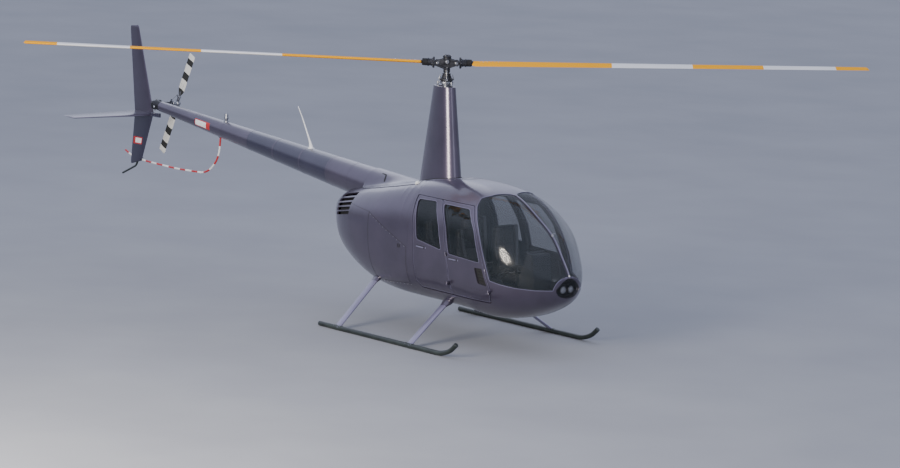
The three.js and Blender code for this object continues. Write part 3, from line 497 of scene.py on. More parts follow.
def tube(bm, path, radius, sides=16, hint=Vector((0, 0, 1)), material=0):
    """A round tube along a path; radius is one number or one for each place."""
    path = [Vector(p) for p in path]
    radii = radius if isinstance(radius, (list, tuple)) else [radius] * len(path)
    rings = [round_ring(place, heading(path, i), radii[i], sides, hint) for i, place in enumerate(path)]
    loft(bm, rings, True, material)


def smooth_path(corners, radius, steps=6):
    """Places along straight lines whose corners are rounded."""
    corners = [Vector(c) for c in corners]
    path = [corners[0]]
    for before, corner, after in zip(corners, corners[1:], corners[2:]):
        back, on = before - corner, after - corner
        cut = min(radius, back.length * 0.48, on.length * 0.48)
        start, end = corner + back.normalized() * cut, corner + on.normalized() * cut
        for k in range(steps + 1):
            t = k / steps
            path.append(start.lerp(corner, t).lerp(corner.lerp(end, t), t))
    path.append(corners[-1])
    return path


def mast_path(corners, radius, steps=6):
    """The same from corners measured from the mast."""
    return smooth_path([from_mast(*corner) for corner in corners], radius, steps)


def turned(bm, profile, centre, axis, steps=32, material=0):
    """A profile of (radius, distance along the axis) turned into a round piece."""
    centre, axis = Vector(centre), Vector(axis).normalized()
    side, _ = across(axis)
    ribs = []
    for i in range(steps):
        out = Matrix.Rotation(2 * math.pi * i / steps, 3, axis) @ side
        ribs.append([ribs[0][j] if ribs and radius <= 0 else
                     bm.verts.new(centre + axis * height + out * max(radius, 0.0))
                     for j, (radius, height) in enumerate(profile)])
    for i, rib in enumerate(ribs):
        after = ribs[(i + 1) % steps]
        for j in range(len(profile) - 1):
            corners = dict.fromkeys((rib[j], rib[j + 1], after[j + 1], after[j]))
            if len(corners) > 2:
                bm.faces.new(corners).material_index = material
    fresh = list(dict.fromkeys(vert for rib in ribs for vert in rib))
    bmesh.ops.remove_doubles(bm, verts=fresh, dist=1e-6)


def rod(bm, start, end, radius, chamfer=0.0, steps=20, material=0, end_radius=None):
    """A closed round bar with cut corners."""
    start, end = Vector(start), Vector(end)
    length = (end - start).length
    last = radius if end_radius is None else end_radius
    if chamfer:
        profile = [(0, 0), (radius - chamfer, 0), (radius, chamfer), (last, length - chamfer),
                   (last - chamfer, length), (0, length)]
    else:
        profile = [(0, 0), (radius, 0), (last, length), (0, length)]
    turned(bm, profile, start, end - start, steps, material)


def coat(verts, material):
    """Gives the faces round some vertices a material; gives back the vertices."""
    for face in {f for v in verts for f in v.link_faces}:
        face.material_index = material
    return verts


def cross_rod(bm, x, y, z, half, *rest):
    """A rod that lies across the aircraft, half its length to each side of a place from the mast."""
    rod(bm, from_mast(x, y - half, z), from_mast(x, y + half, z), *rest)


def ball(bm, centre, radius, material=0, segments=16):
    made = bmesh.ops.create_uvsphere(bm, u_segments=segments, v_segments=segments // 2, radius=radius,
                                     matrix=Matrix.Translation(Vector(centre)))
    coat(made["verts"], material)


def facing(place, direction):
    """A matrix that stands a piece's own Z along a direction."""
    return Matrix.Translation(place) @ Vector(direction).to_track_quat("Z", "Y").to_matrix().to_4x4()


def stud(bm, place, direction, radius, height, sides=6, material=0, top=0.85):
    """A small screw or bolt head, half sunk at its place."""
    made = bmesh.ops.create_cone(bm, cap_ends=True, segments=sides, radius1=radius, radius2=radius * top,
                                 depth=height * 2, matrix=facing(place, direction))
    coat(made["verts"], material)


def block(bm, start, end, material=0):
    """A box from one corner to the opposite one; gives its vertices."""
    low = Vector([min(pair) for pair in zip(start, end)])
    high = Vector([max(pair) for pair in zip(start, end)])
    matrix = Matrix.Translation((low + high) / 2) @ Matrix.Diagonal((*(high - low), 1.0))
    return coat(bmesh.ops.create_cube(bm, size=1.0, matrix=matrix)["verts"], material)


def side_plate(bm, outline, y0, y1, material=0):
    """An outline in x, z, measured from the mast, carried from one y to another."""
    loft(bm, [[from_mast(x, y, z) for x, z in outline] for y in (y0, y1)], material=material)


def strip(bm, path, width, rise, sink=0.002, closed=False, material=0):
    """A low rib along (place, normal) pairs."""
    rings = []
    count = len(path)
    shoulder = 0.8
    for i, (place, normal) in enumerate(path):
        before = path[i - 1][0] if closed or i else place
        after = path[(i + 1) % count][0] if closed or i + 1 < count else place
        side = normal.cross(after - before).normalized() * width / 2
        low, high = place - normal * sink, place + normal * rise
        rings.append([low - side, high - side * shoulder, high + side * shoulder, low + side])
    if closed:
        rings.append(rings[0])
    loft(bm, rings, not closed, material)


def shift(verts, matrix):
    for vert in verts:
        vert.co = matrix @ vert.co


def shift_since(bm, placed, matrix):
    """Moves what has come into a mesh since placed held its vertices."""
    shift([vert for vert in bm.verts if vert not in placed], matrix)


def mesh_of(bm, name):
    """The finished mesh; the working one goes."""
    mesh = bpy.data.meshes.new(name)
    bm.to_mesh(mesh)
    bm.free()
    return mesh


BEVEL_ANGLE = math.radians(35)


def finish_piece(name, bm, materials, body, bevel=0.0, segments=2, sharp=32, replaces=(), keep=False,
                 weighted=True):
    """Makes the mesh an object that rides on a body and stands for the named nodes."""
    if not keep:
        bmesh.ops.remove_doubles(bm, verts=bm.verts[:], dist=1e-6)
        bmesh.ops.recalc_face_normals(bm, faces=bm.faces[:])
    limit = math.radians(sharp)
    for edge in bm.edges:
        edge.smooth = len(edge.link_faces) != 2 or edge.calc_face_angle(0.0) < limit
    for face in bm.faces:
        face.smooth = True
    mesh = mesh_of(bm, name)
    piece = bpy.data.objects.new(name, mesh)
    bpy.context.scene.collection.objects.link(piece)
    for key in materials:
        mesh.materials.append(finish_of(key))
    if bevel:
        edge_round = piece.modifiers.new("rounded edges", "BEVEL")
        edge_round.width = bevel
        edge_round.segments = segments
        edge_round.limit_method = "ANGLE"
        edge_round.angle_limit = BEVEL_ANGLE
        edge_round.harden_normals = False
    if weighted:
        shading = piece.modifiers.new("even shading", "WEIGHTED_NORMAL")
        shading.keep_sharp = True
    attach(piece, body)
    if replaces:
        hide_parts(*replaces)
    return piece


# The body's skin


def section(t):
    """The section's seven values at row t of the body's table, smooth between rows."""
    rows = len(BODY)
    i = min(max(int(t), 0), rows - 2)
    f = t - i
    before, start, end, after = (BODY[max(i - 1, 0)], BODY[i], BODY[i + 1], BODY[min(i + 2, rows - 1)])
    values = []
    for a, b, c, d in zip(before, start, end, after):
        values.append(0.5 * (2 * b + (c - a) * f + (2 * a - 5 * b + 4 * c - d) * f * f
                             + (3 * b - a - 3 * c + d) * f * f * f))
    return values


def turning_point(low, high, holds, rounds=40):
    """The ends of the short stretch between low and high where holds stops being true."""
    for _ in range(rounds):
        middle = (low + high) / 2
        if holds(middle):
            low = middle
        else:
            high = middle
    return low, high


def row_at(x):
    """The row number whose section stands at x."""
    return sum(turning_point(0.0, len(BODY) - 1.0, lambda t: section(t)[0] > x)) / 2


# Shallow valley on each side of the roof, from the mast fairing's foot to the windscreen's corner:
# x and distance from the middle
VALLEY = ((0.280, 0.120), (0.604, 0.265), (0.815, 0.376), (0.977, 0.416), (1.101, 0.426), (1.230, 0.470))
VALLEY_DEPTH = 0.012
VALLEY_HALF = 0.050


def valley(x, y):
    """How far the roof dips at a place."""
    for (x0, y0), (x1, y1) in zip(VALLEY, VALLEY[1:]):
        if x0 <= x <= x1:
            line = y0 + (y1 - y0) * (x - x0) / (x1 - x0)
            share = (x - VALLEY[0][0]) / (VALLEY[-1][0] - VALLEY[0][0])
            spread = math.exp(-((abs(y) - line) / VALLEY_HALF) ** 2)
            return VALLEY_DEPTH * math.sqrt(math.sin(math.pi * share)) * spread
    return 0.0


# Sunken roof round the mast fairing: its middle, its reach along and across, and its depth
SADDLE_MIDDLE = -0.050
SADDLE_REACH = (0.400, 0.170)
SADDLE_DEPTH = 0.030
SADDLE_EASE = 0.7


def saddle(x, y):
    """How far the roof sinks round the mast fairing."""
    away = math.hypot((x - SADDLE_MIDDLE) / SADDLE_REACH[0], y / SADDLE_REACH[1])
    share = min(max((away - 1.0) / SADDLE_EASE, 0.0), 1.0)
    return SADDLE_DEPTH * (1 + math.cos(math.pi * share)) / 2


# Angle above which the roof's dips count, and how near the middle line an angle counts as on it
DIP_ANGLE = 0.8
ON_MIDDLE = 1e-7


def skin_place(t, angle, side=STARBOARD):
    """A place on the skin at row t and at an angle above the widest line."""
    x, half, top, bottom, wide, above, below = section(t)
    c, s = math.cos(angle), math.sin(angle)
    rise, power = (top - wide, above) if s >= 0 else (wide - bottom, below)
    reach = (abs(c / half) ** power + abs(s / rise) ** power) ** (-1 / power)
    y = 0.0 if abs(abs(angle) - QUARTER_TURN) < ON_MIDDLE else side * reach * c
    dip = valley(x, y) + saddle(x, y) if angle > DIP_ANGLE else 0.0
    return Vector((x + MAST_X, y, wide + reach * s - dip))


def skin_normal(t, angle, side=STARBOARD):
    """The outward direction of the skin there."""
    step = 1e-3
    last = len(BODY) - 1.0
    along = skin_place(min(t + step, last), angle, side) - skin_place(max(t - step, 0.0), angle, side)
    up_angle = min(angle + step, QUARTER_TURN - 1e-6)
    down_angle = max(angle - step, -QUARTER_TURN + 1e-6)
    around = skin_place(t, up_angle, side) - skin_place(t, down_angle, side)
    normal = along.cross(around).normalized()
    centre_z = section(t)[4]
    here = skin_place(t, angle, side)
    outward = Vector((0.0, here.y, here.z - centre_z))
    if normal.dot(outward) < 0:
        normal.negate()
    if abs(abs(angle) - QUARTER_TURN) < ON_MIDDLE:
        normal.y = 0.0
        normal.normalize()
    return normal


def on_skin(x, z):
    """Row and angle of the skin's place with that x and z."""
    t = row_at(x)
    _, half, top, bottom, wide, above, below = section(t)
    rise, power = (top - wide, above) if z >= wide else (wide - bottom, below)
    share = min(abs(z - wide) / rise, 1.0)
    y = half * max(0.0, 1.0 - share ** power) ** (1 / power)
    return t, math.atan2(z - wide, y)


def roof_height(x, y):
    """Height of the body's skin above a place."""
    _, half, top, _, wide, above, _ = section(row_at(x))
    share = min(abs(y) / half, 1.0)
    return wide + (top - wide) * (1 - share ** above) ** (1 / above) - saddle(x, y)


def bow_angle(t, y, way=1):
    """The angle, near the top or with way -1 near the bottom, at which the skin is y from the middle."""
    return sum(turning_point(0.2, QUARTER_TURN, lambda angle: abs(skin_place(t, way * angle).y) > y)) / 2


def rounded(points, radius, steps=5):
    """An outline with each corner cut back to an arc."""
    flat = []
    count = len(points)
    for i in range(count):
        corner = Vector(points[i])
        back = Vector(points[i - 1]) - corner
        on = Vector(points[(i + 1) % count]) - corner
        cut = min(radius, back.length * 0.45, on.length * 0.45)
        start, end = corner + back.normalized() * cut, corner + on.normalized() * cut
        for k in range(steps + 1):
            t = k / steps
            flat.append(start.lerp(corner, t).lerp(corner.lerp(end, t), t))
    return [tuple(p) for p in flat]


def dense(points, step=0.03, closed=True):
    """The same outline with places no further apart than step."""
    out = []
    count = len(points)
    for i in range(count if closed else count - 1):
        start, end = Vector(points[i]), Vector(points[(i + 1) % count])
        parts = max(1, math.ceil((end - start).length / step))
        out += [tuple(start.lerp(end, k / parts)) for k in range(parts)]
    if not closed:
        out.append(tuple(points[-1]))
    return out


def grown(points, distance):
    """An outline moved outwards by a distance on every side, inwards where it is below zero."""
    count = len(points)
    area = sum(points[i][0] * points[(i + 1) % count][1] - points[(i + 1) % count][0] * points[i][1]
               for i in range(count))
    turn = math.copysign(distance, area) if distance >= 0 else -math.copysign(-distance, area)
    sides = []
    for i in range(count):
        start, end = Vector(points[i]), Vector(points[(i + 1) % count])
        run = (end - start).normalized()
        sides.append((start + Vector((run.y, -run.x)) * turn, run))
    out = []
    for i in range(count):
        (a, da), (b, db) = sides[i - 1], sides[i]
        cross = da.x * db.y - da.y * db.x
        if abs(cross) < 1e-6:
            out.append(tuple(b))
        else:
            along = ((b.x - a.x) * db.y - (b.y - a.y) * db.x) / cross
            out.append(tuple(a + da * along))
    return out


def side_loop(points, radius=0.0, step=0.03):
    """A side-view outline as rows and angles on the skin."""
    flat = rounded(points, radius) if radius else points
    return [on_skin(x, z) for x, z in dense(flat, step)]


GRID_ROW = 0.25
GRID_ANGLE = math.radians(5)


def skin_patch(target, loops, depth, thickness, side=STARBOARD, open_middle=False, lined=1, material=0,
               fine=1):
    """A panel of the skin inside the first loop and outside the others, as deep as its thickness.
    Its inner face takes the material numbered lined."""
    bm = bmesh.new()
    edges = []
    for loop in loops:
        verts = [bm.verts.new((t, angle, 0.0)) for t, angle in loop]
        edges += [bm.edges.new((verts[i - 1], verts[i])) for i in range(len(verts))]
    bmesh.ops.triangle_fill(bm, use_beauty=True, use_dissolve=False, edges=edges, normal=(0, 0, 1))
    for axis, step in ((0, GRID_ROW / fine), (1, GRID_ANGLE / fine)):
        values = [v.co[axis] for v in bm.verts]
        k = math.ceil(min(values) / step + 0.02)
        while k * step < max(values) - 0.02 * step:
            at, normal = Vector((0, 0, 0)), Vector((0, 0, 0))
            at[axis], normal[axis] = k * step, 1.0
            bmesh.ops.bisect_plane(bm, geom=bm.verts[:] + bm.edges[:] + bm.faces[:], dist=1e-5,
                                   plane_co=at, plane_no=normal)
            k += 1
    for face in bm.faces:
        face.material_index = material
    if thickness:
        made = bmesh.ops.extrude_face_region(bm, geom=bm.faces[:], use_keep_orig=True)["geom"]
        for item in made:
            if isinstance(item, bmesh.types.BMVert):
                item.co.z = 1.0
            elif isinstance(item, bmesh.types.BMFace):
                item.material_index = lined
    if open_middle:
        middle = [f for f in bm.faces if all(abs(abs(v.co.y) - QUARTER_TURN) < 1e-6 for v in f.verts)]
        bmesh.ops.delete(bm, geom=middle, context="FACES_ONLY")
    for vert in bm.verts:
        t, angle, layer = vert.co
        inward = depth + (thickness if layer > 0.5 else 0.0)
        vert.co = skin_place(t, angle, side) - skin_normal(t, angle, side) * inward
    join(target, bm)


def join(target, bm):
    """Puts one mesh into another."""
    carried = mesh_of(bm, "patch")
    target.from_mesh(carried)
    bpy.data.meshes.remove(carried)


def mirror_across(bm):
    """Adds the other side of a half that is open along the middle."""
    geometry = bm.verts[:] + bm.edges[:] + bm.faces[:]
    bmesh.ops.mirror(bm, geom=geometry, matrix=Matrix(), merge_dist=1e-5, axis="Y")
    bmesh.ops.remove_doubles(bm, verts=bm.verts[:], dist=1e-5)
    bmesh.ops.recalc_face_normals(bm, faces=bm.faces[:])


def on_roof(x, y):
    """Row and angle of the roof's place with that x and distance from the middle."""
    t = row_at(x)
    return t, math.atan2(roof_height(x, y) - section(t)[4], abs(y))


def screen_loop(margin=0.0):
    """The starboard windscreen's edge as rows and angles, smaller by a margin where it is below zero."""
    side_points = dense([SCREEN_SILL[-1], *SCREEN_AFT], closed=False)
    loop = [on_skin(x, z) for x, z in side_points]
    loop += [on_roof(x, y) for x, y in dense(BROW, closed=False)[:-1]]
    start, end = row_at(BROW[-1][0]), row_at(SCREEN_SILL[0][0])
    steps = 48
    for k in range(steps + 1):
        t = start + (end - start) * k / steps
        loop.append((t, bow_angle(t, BOW - margin)))
    sill = dense(SCREEN_SILL, closed=False)
    loop += [on_skin(x, z) for x, z in sill[1:-1]]
    return loop


def doorway_loop():
    """The edge of the opening for both doors, lower at the sill."""
    outline = [*AFT_EDGE, AFT_CORNER, FRONT_CORNER, *reversed(FRONT_EDGE)]
    lowered = [(x, z - (SILL_GAP - DOOR_GAP) if z < DOOR_BOTTOM + 0.01 else z) for x, z in outline]
    return side_loop(grown(lowered, DOOR_GAP), 0.012)


def hinge_notch(low, high, share):
    """The cut in the front door's edge that clears one of the aft door's hinges, from the top down."""
    at, up = low.lerp(high, share), (high - low).normalized()
    on = Vector((up.y, -up.x))
    return [tuple(at + on * reach + up * rise) for reach, rise in
            ((-0.006, NOTCH), (0.013, NOTCH), (0.013, -NOTCH), (-0.006, -NOTCH))]


NOTCH = 0.028


def door_outline(front):
    near = SPLIT_GAP / 2
    if not front:
        relieved = [(x + relief, z) for (x, z), relief in zip(AFT_EDGE, AFT_RELIEF)]
        return [*relieved, AFT_CORNER, *((x - near, z) for x, z in reversed(SPLIT))]
    low, high = (Vector((x, z)) for x, _, z in HINGES["aft"])
    edge = [(x + near, z) for x, z in SPLIT]
    edge[3:3] = hinge_notch(low, high, 1.0)
    edge[8:8] = hinge_notch(low, high, 0.0)
    return [*reversed(edge), *FRONT_EDGE, FRONT_CORNER]


# Clear cover of the nose lamps, starboard half from the bow down: y, z
LAMP_COVER = ((0.0, 0.978), (0.035, 0.974), (0.095, 0.941), (0.140, 0.896), (0.176, 0.850), (0.166, 0.814),
              (0.132, 0.772), (0.081, 0.748), (0.0, 0.737))
NOSE_STEP = 0.012
NOSE_ROWS = 4.0


def on_nose(y, z):
    """Row and angle of the skin's place with that y and z, near the nose."""
    def outside(t):
        _, half, top, bottom, wide, above, below = section(t)
        rise, power = (top - wide, above) if z >= wide else (wide - bottom, below)
        return (abs(y) / half) ** power + (abs(z - wide) / rise) ** power >= 1

    t = sum(turning_point(0.0, NOSE_ROWS, outside)) / 2
    return t, math.atan2(z - section(t)[4], abs(y))


def nose_place(y, z, depth=0.0):
    """A place on the nose, or behind it, seen from ahead at that y and z."""
    t, angle = on_nose(y, z)
    return Vector((skin_place(t, angle).x - depth, y, z))


def cabin_edge():
    """The starboard half of the cabin's skin, from the bulkhead to the lamp cover."""
    nose = [on_nose(y, z) for y, z in dense(LAMP_COVER, NOSE_STEP, closed=False)]
    head, foot, aft = nose[0][0], nose[-1][0], row_at(CABIN_AFT)
    steps = 48
    bottom = [(foot + (aft - foot) * k / steps, -QUARTER_TURN) for k in range(1, steps)]
    up = [(aft, -QUARTER_TURN + math.pi * k / steps) for k in range(steps)]
    top = [(aft + (head - aft) * k / steps, QUARTER_TURN) for k in range(steps)]
    return nose + bottom + up + top


def skin_path(points, depth=0.0, side=STARBOARD, step=0.02, closed=False):
    """Places and outward directions along a side-view line on the skin."""
    path = []
    for x, z in dense(points, step, closed):
        t, angle = on_skin(x, z)
        normal = skin_normal(t, angle, side)
        path.append((skin_place(t, angle, side) - normal * depth, normal))
    return path


def seam(bm, points, side, width=0.004, rise=0.0008, material=0, closed=False, depth=0.0):
    """A thin line along the skin."""
    strip(bm, skin_path(points, depth, side, closed=closed), width, rise, 0.002, closed, material)


def studs_along(bm, path, gap, radius, height, material=0, sides=8):
    """Screw heads at even gaps along (place, normal) pairs."""
    travelled, due = 0.0, gap / 2
    for (start, normal), (end, _) in zip(path, path[1:]):
        length = (end - start).length
        while due <= travelled + length:
            place = start.lerp(end, (due - travelled) / length)
            stud(bm, place, normal, radius, height, sides, material)
            due += gap
        travelled += length


def closed_tube(bm, path, radius, sides=8, material=0):
    """A round cord that joins its own start."""
    count = len(path)
    rings = [round_ring(place, path[(i + 1) % count] - path[i - 1], radius, sides)
             for i, place in enumerate(path)]
    loft(bm, [*rings, rings[0]], False, material)


def section_ring(t, inset=0.0, count=72):
    """The whole section at row t, both sides, moved inwards."""
    return [skin_place(t, angle, side) - skin_normal(t, angle, side) * inset
            for angle, side in ring_angles(count)]


def ring_angles(count):
    """Angles up the starboard side and down the port side."""
    half = count // 2
    starboard = [(-QUARTER_TURN + math.pi * k / half, STARBOARD) for k in range(half)]
    port = [(QUARTER_TURN - math.pi * k / half, PORT) for k in range(half)]
    return starboard + port


POST_HALF = 0.032
POST_PATH = ((0.606, 1.790), *SPLIT, (0.970, 0.520))


class AddCabinShell(bpy.types.Operator):
    """The cabin's skin with its openings, its bow, door posts and bulkhead"""
    bl_idname = "helicopter.cabin_shell"
    bl_label = "Cabin shell"

    def execute(self, context):
        bm = bmesh.new()
        skin_patch(bm, [cabin_edge(), doorway_loop(), screen_loop()], 0.0, CABIN_WALL, open_middle=True,
                   fine=2)
        mirror_across(bm)
        finish_piece("cabin_skin", bm, ("paint", "lining"), AIRFRAME, bevel=0.002,
                     replaces=("cabin_shell", "cabin_belly"))

        outline = [(x + POST_HALF, z) for x, z in POST_PATH] + [(x - POST_HALF, z)
                                                                for x, z in reversed(POST_PATH)]
        for hand, side in SIDES:
            bm = bmesh.new()
            skin_patch(bm, [side_loop(outline)], CABIN_WALL + 0.008, 0.030, side, lined=0)
            finish_piece(f"door_post_{hand}", bm, ("lining",), AIRFRAME, bevel=0.004)
            bm = bmesh.new()
            doorway = grown([*AFT_EDGE, AFT_CORNER, FRONT_CORNER, *reversed(FRONT_EDGE)], -0.012)
            closed_tube(bm, [place for place, _ in skin_path(doorway, CABIN_WALL + 0.007, side,
                                                             closed=True)], 0.005)
            finish_piece(f"door_seal_{hand}", bm, ("rubber",), AIRFRAME, sharp=80)

        bm = bmesh.new()
        rows = [row_at(x) for x in (CABIN_AFT + 0.002, CABIN_AFT + 0.026)]
        loft(bm, [section_ring(t, CABIN_WALL - 0.002) for t in rows])
        finish_piece("bulkhead", bm, ("lining",), AIRFRAME, bevel=0.002)
        return {"FINISHED"}


class AddNoseLamps(bpy.types.Operator):
    """Two lamps in a dark housing under a clear cover at the bow's foot"""
    bl_idname = "helicopter.nose_lamps"
    bl_label = "Nose lamps"

    def execute(self, context):
        whole = [*LAMP_COVER, *((-y, z) for y, z in reversed(LAMP_COVER[1:-1]))]
        outline = dense(rounded(grown(whole, -0.001), 0.012, 3), NOSE_STEP)
        bm = bmesh.new()
        verts = [bm.verts.new((0.0, y, z)) for y, z in outline]
        edges = [bm.edges.new((verts[i - 1], verts[i])) for i in range(len(verts))]
        bmesh.ops.triangle_fill(bm, use_beauty=True, use_dissolve=False, edges=edges, normal=(1, 0, 0))
        for normal, low, high in (((0, 1, 0), -0.165, 0.165), ((0, 0, 1), 0.75, 0.97)):
            at = low
            while at <= high:
                bmesh.ops.bisect_plane(bm, geom=bm.verts[:] + bm.edges[:] + bm.faces[:], dist=1e-5,
                                       plane_co=Vector(normal) * at, plane_no=normal)
                at += 0.015
        thick = bmesh.ops.extrude_face_region(bm, geom=bm.faces[:], use_keep_orig=True)["geom"]
        inner = {item for item in thick if isinstance(item, bmesh.types.BMVert)}
        for vert in bm.verts:
            vert.co = nose_place(vert.co.y, vert.co.z, 0.005 if vert in inner else 0.001)
        finish_piece("lamp_cover", bm, ("lamp_cover",), AIRFRAME)

        bm = bmesh.new()
        back = 2.255 + MAST_X
        rings = []
        for inset, depth in ((0.006, None), (0.0015, 0.014), (0.0015, 0.007), (0.005, 0.007),
                             (0.016, None)):
            ring = grown(outline, -inset)
            if depth is None:
                rings.append([Vector((back + (0.012 if rings else 0.0), y, z)) for y, z in ring])
            else:
                rings.append([nose_place(y, z, depth) for y, z in ring])
        loft(bm, rings)
        for side in (STARBOARD, PORT):
            centre = Vector((back + 0.024, side * 0.054, 0.842))
            aim = (1, side * 0.10, -0.06)
            turned(bm, [(0, 0.012), (0.014, 0.015), (0.027, 0.030), (0.035, 0.048), (0.038, 0.048),
                        (0.038, 0.0), (0, 0.0)], centre, aim, material=1)
            turned(bm, [(0, 0.056), (0.020, 0.054), (0.035, 0.047), (0.035, 0.043), (0, 0.048)], centre,
                   aim, material=2)
            turned(bm, [(0.034, 0.042), (0.042, 0.042), (0.044, 0.046), (0.042, 0.052), (0.035, 0.053),
                        (0.034, 0.042)], centre, aim, material=3)
            ball(bm, centre + Vector((0.028, 0, 0)), 0.006, 3, 12)
        # A near-black block above the lamps; painted shade for the dark slot there.
        block(bm, (back + 0.012, -0.062, 0.900), (back + 0.026, 0.062, 0.928), 4)
        finish_piece("nose_lamp_housing", bm, ("forging", "chrome", "lens_painted_highlight", "alloy", "rubber"),
                     AIRFRAME, replaces=("nose_lamps",))
        return {"FINISHED"}


# Fresh-air opening in each front door: x, z
DOOR_VENT = ((1.424, 1.010), (1.545, 1.015), (1.626, 0.828), (1.488, 0.840))
DOOR_HANDLES = {"front": ((0.948, 1.050), (1.078, 1.052)), "aft": ((0.335, 1.115), (0.465, 1.112))}
# Row of screws low on each door: x of its aft and front end, and its height
SCREW_LINES = {"front": (1.33, 1.60), "aft": (0.62, 0.86)}
SCREW_HEIGHT = 0.760

# Door hinges at their lower and upper place: x, distance from the middle, z
HINGES = {"front": ((1.690, 0.659, 0.760), (1.620, 0.659, 1.000)),
          "aft": ((0.945, 0.667, 0.760), (0.887, 0.658, 1.100))}
HINGE_DEPTHS = {"front": (0.062, 0.028), "aft": (0.052, 0.030)}
HINGE_STARTS = {"front": -0.030, "aft": -0.014}
BARREL = 0.007
BARREL_LENGTH = 0.022
LEAF = 0.005


def hinge_frame(place, share, side):
    """Stands at one hinge of the starboard door: X forward, Y outboard, Z along its axis."""
    low, high = (from_mast(x, -y, z) for x, y, z in HINGES[place])
    up = (high - low).normalized()
    outboard = (Vector((0, -1, 0)) + up * up.y).normalized()
    forward = up.cross(outboard)
    columns = (forward, outboard, forward.cross(outboard))
    matrix = Matrix.Translation(low.lerp(high, share)) @ Matrix(columns).transposed().to_4x4()
    return Matrix.Diagonal((1, -1, 1, 1)) @ matrix if side == PORT else matrix


def hinge_half(place, side, moving):
    """The two barrels and leaves of one door, or of the frame that carries it."""
    bm = bmesh.new()
    for share, depth in enumerate(HINGE_DEPTHS[place]):
        placed = set(bm.verts)
        if moving:
            rod(bm, (0, 0, 0.0003), (0, 0, BARREL_LENGTH), BARREL, 0.001)
            start = HINGE_STARTS[place]
            block(bm, (start - 0.018, -LEAF / 2, 0.0023), (0, LEAF / 2, BARREL_LENGTH - 0.002))
            block(bm, (start - 0.018, -depth, 0.0023), (start, LEAF / 2, BARREL_LENGTH - 0.002))
        else:
            rod(bm, (0, 0, -BARREL_LENGTH), (0, 0, 0), BARREL, 0.001)
            if place == "front":
                block(bm, (0, -depth, 0.002 - BARREL_LENGTH), (0.011, LEAF / 2, -0.002))
            else:
                block(bm, (-0.002, -depth - 0.04, 0.002 - BARREL_LENGTH), (0.002, 0, -0.002))
        shift_since(bm, placed, hinge_frame(place, share, side))
    return bm


class AddDoors(bpy.types.Operator):
    """Four doors with their windows, seals, handles and hinges"""
    bl_idname = "helicopter.doors"
    bl_label = "Doors"

    def execute(self, context):
        for place, window in (("front", FRONT_WINDOW), ("aft", REAR_WINDOW)):
            for hand, side in SIDES:
                self.add_door(place, window, hand, side)
        return {"FINISHED"}

    def add_door(self, place, window, hand, side):
        body = f"{place}_door_{hand}"
        outline = door_outline(place == "front")
        loops = [side_loop(outline, 0.014), side_loop(window, WINDOW_RADIUS)]
        if place == "front":
            loops.append(side_loop(DOOR_VENT, 0.010, 0.01))
        bm = bmesh.new()
        skin_patch(bm, loops, 0.0, CABIN_WALL, side)
        finish_piece(f"door_panel_{place}_{hand}", bm, ("paint", "lining"), body, bevel=0.0025,
                     replaces=(f"door_{place}_{hand}",))

        bm = bmesh.new()
        skin_patch(bm, [side_loop(grown(rounded(window, WINDOW_RADIUS), -0.001))], 0.010, GLASS, side,
                   lined=0)
        finish_piece(f"door_glass_{place}_{hand}", bm, ("acrylic",), body,
                     replaces=(f"window_{place}_{hand}",))

        edge = rounded(window, WINDOW_RADIUS)
        # Pale raised strips round the window and along the door's edge; their pale paint is a painted
        # highlight on the frame's edges.
        bm = bmesh.new()
        for line, width in ((grown(edge, 0.003), 0.005), (grown(outline, -0.003), 0.003)):
            strip(bm, skin_path(line, 0.0, side, closed=True), width, 0.0007, 0.001, True)
        finish_piece(f"door_trim_{place}_{hand}", bm, ("strut",), body, sharp=50)

        bm = bmesh.new()
        strip(bm, skin_path(grown(edge, -0.004), 0.016, side, closed=True), 0.012, 0.0, 0.006, True)
        if place == "front":
            skin_patch(bm, [side_loop(grown(DOOR_VENT, 0.006), 0.010, 0.01)], 0.016, 0.004, side, lined=0)
            top_aft, top_fore, low_fore, low_aft = (Vector(corner) for corner in DOOR_VENT)
            inside = Vector((0.006, 0.0))
            for k in range(1, 5):
                bar = [tuple(top_aft.lerp(low_aft, k / 5) + inside),
                       tuple(top_fore.lerp(low_fore, k / 5) - inside)]
                seam(bm, bar, side, 0.005, 0.006, depth=0.012)
            strip(bm, skin_path(rounded(grown(DOOR_VENT, 0.002), 0.010), 0.0, side, 0.01, True), 0.005,
                  0.0016, 0.002, True)
        inner = grown(outline, -0.020)
        closed_tube(bm, [p for p, _ in skin_path(inner, CABIN_WALL + 0.002, side, closed=True)], 0.004)
        finish_piece(f"door_rubber_{place}_{hand}", bm, ("rubber",), body, sharp=50)

        bm = bmesh.new()
        start, end = DOOR_HANDLES[place]
        plate = [(start[0] - 0.012, start[1]), (end[0] + 0.012, end[1])]
        seam(bm, plate, side, 0.034, 0.0012, material=1)
        seam(bm, [start, end], side, 0.017, 0.011, material=0)
        t, angle = on_skin(end[0] + 0.030, end[1])
        normal = skin_normal(t, angle, side)
        rod(bm, skin_place(t, angle, side), skin_place(t, angle, side) + normal * 0.002, 0.009, 0.0006,
            16, 0)
        aft, fore = SCREW_LINES[place]
        path = skin_path([(aft, SCREW_HEIGHT), (fore, SCREW_HEIGHT)], 0.0, side)
        studs_along(bm, path, 0.05, 0.0035, 0.001, 1)
        finish_piece(f"door_handle_{place}_{hand}", bm, ("strut", "rubber"), body, bevel=0.0012)

        for name, rides, moving in (("door", body, True), ("frame", AIRFRAME, False)):
            finish_piece(f"{name}_hinges_{place}_{hand}", hinge_half(place, side, moving), ("paint",),
                         rides, bevel=0.0008)


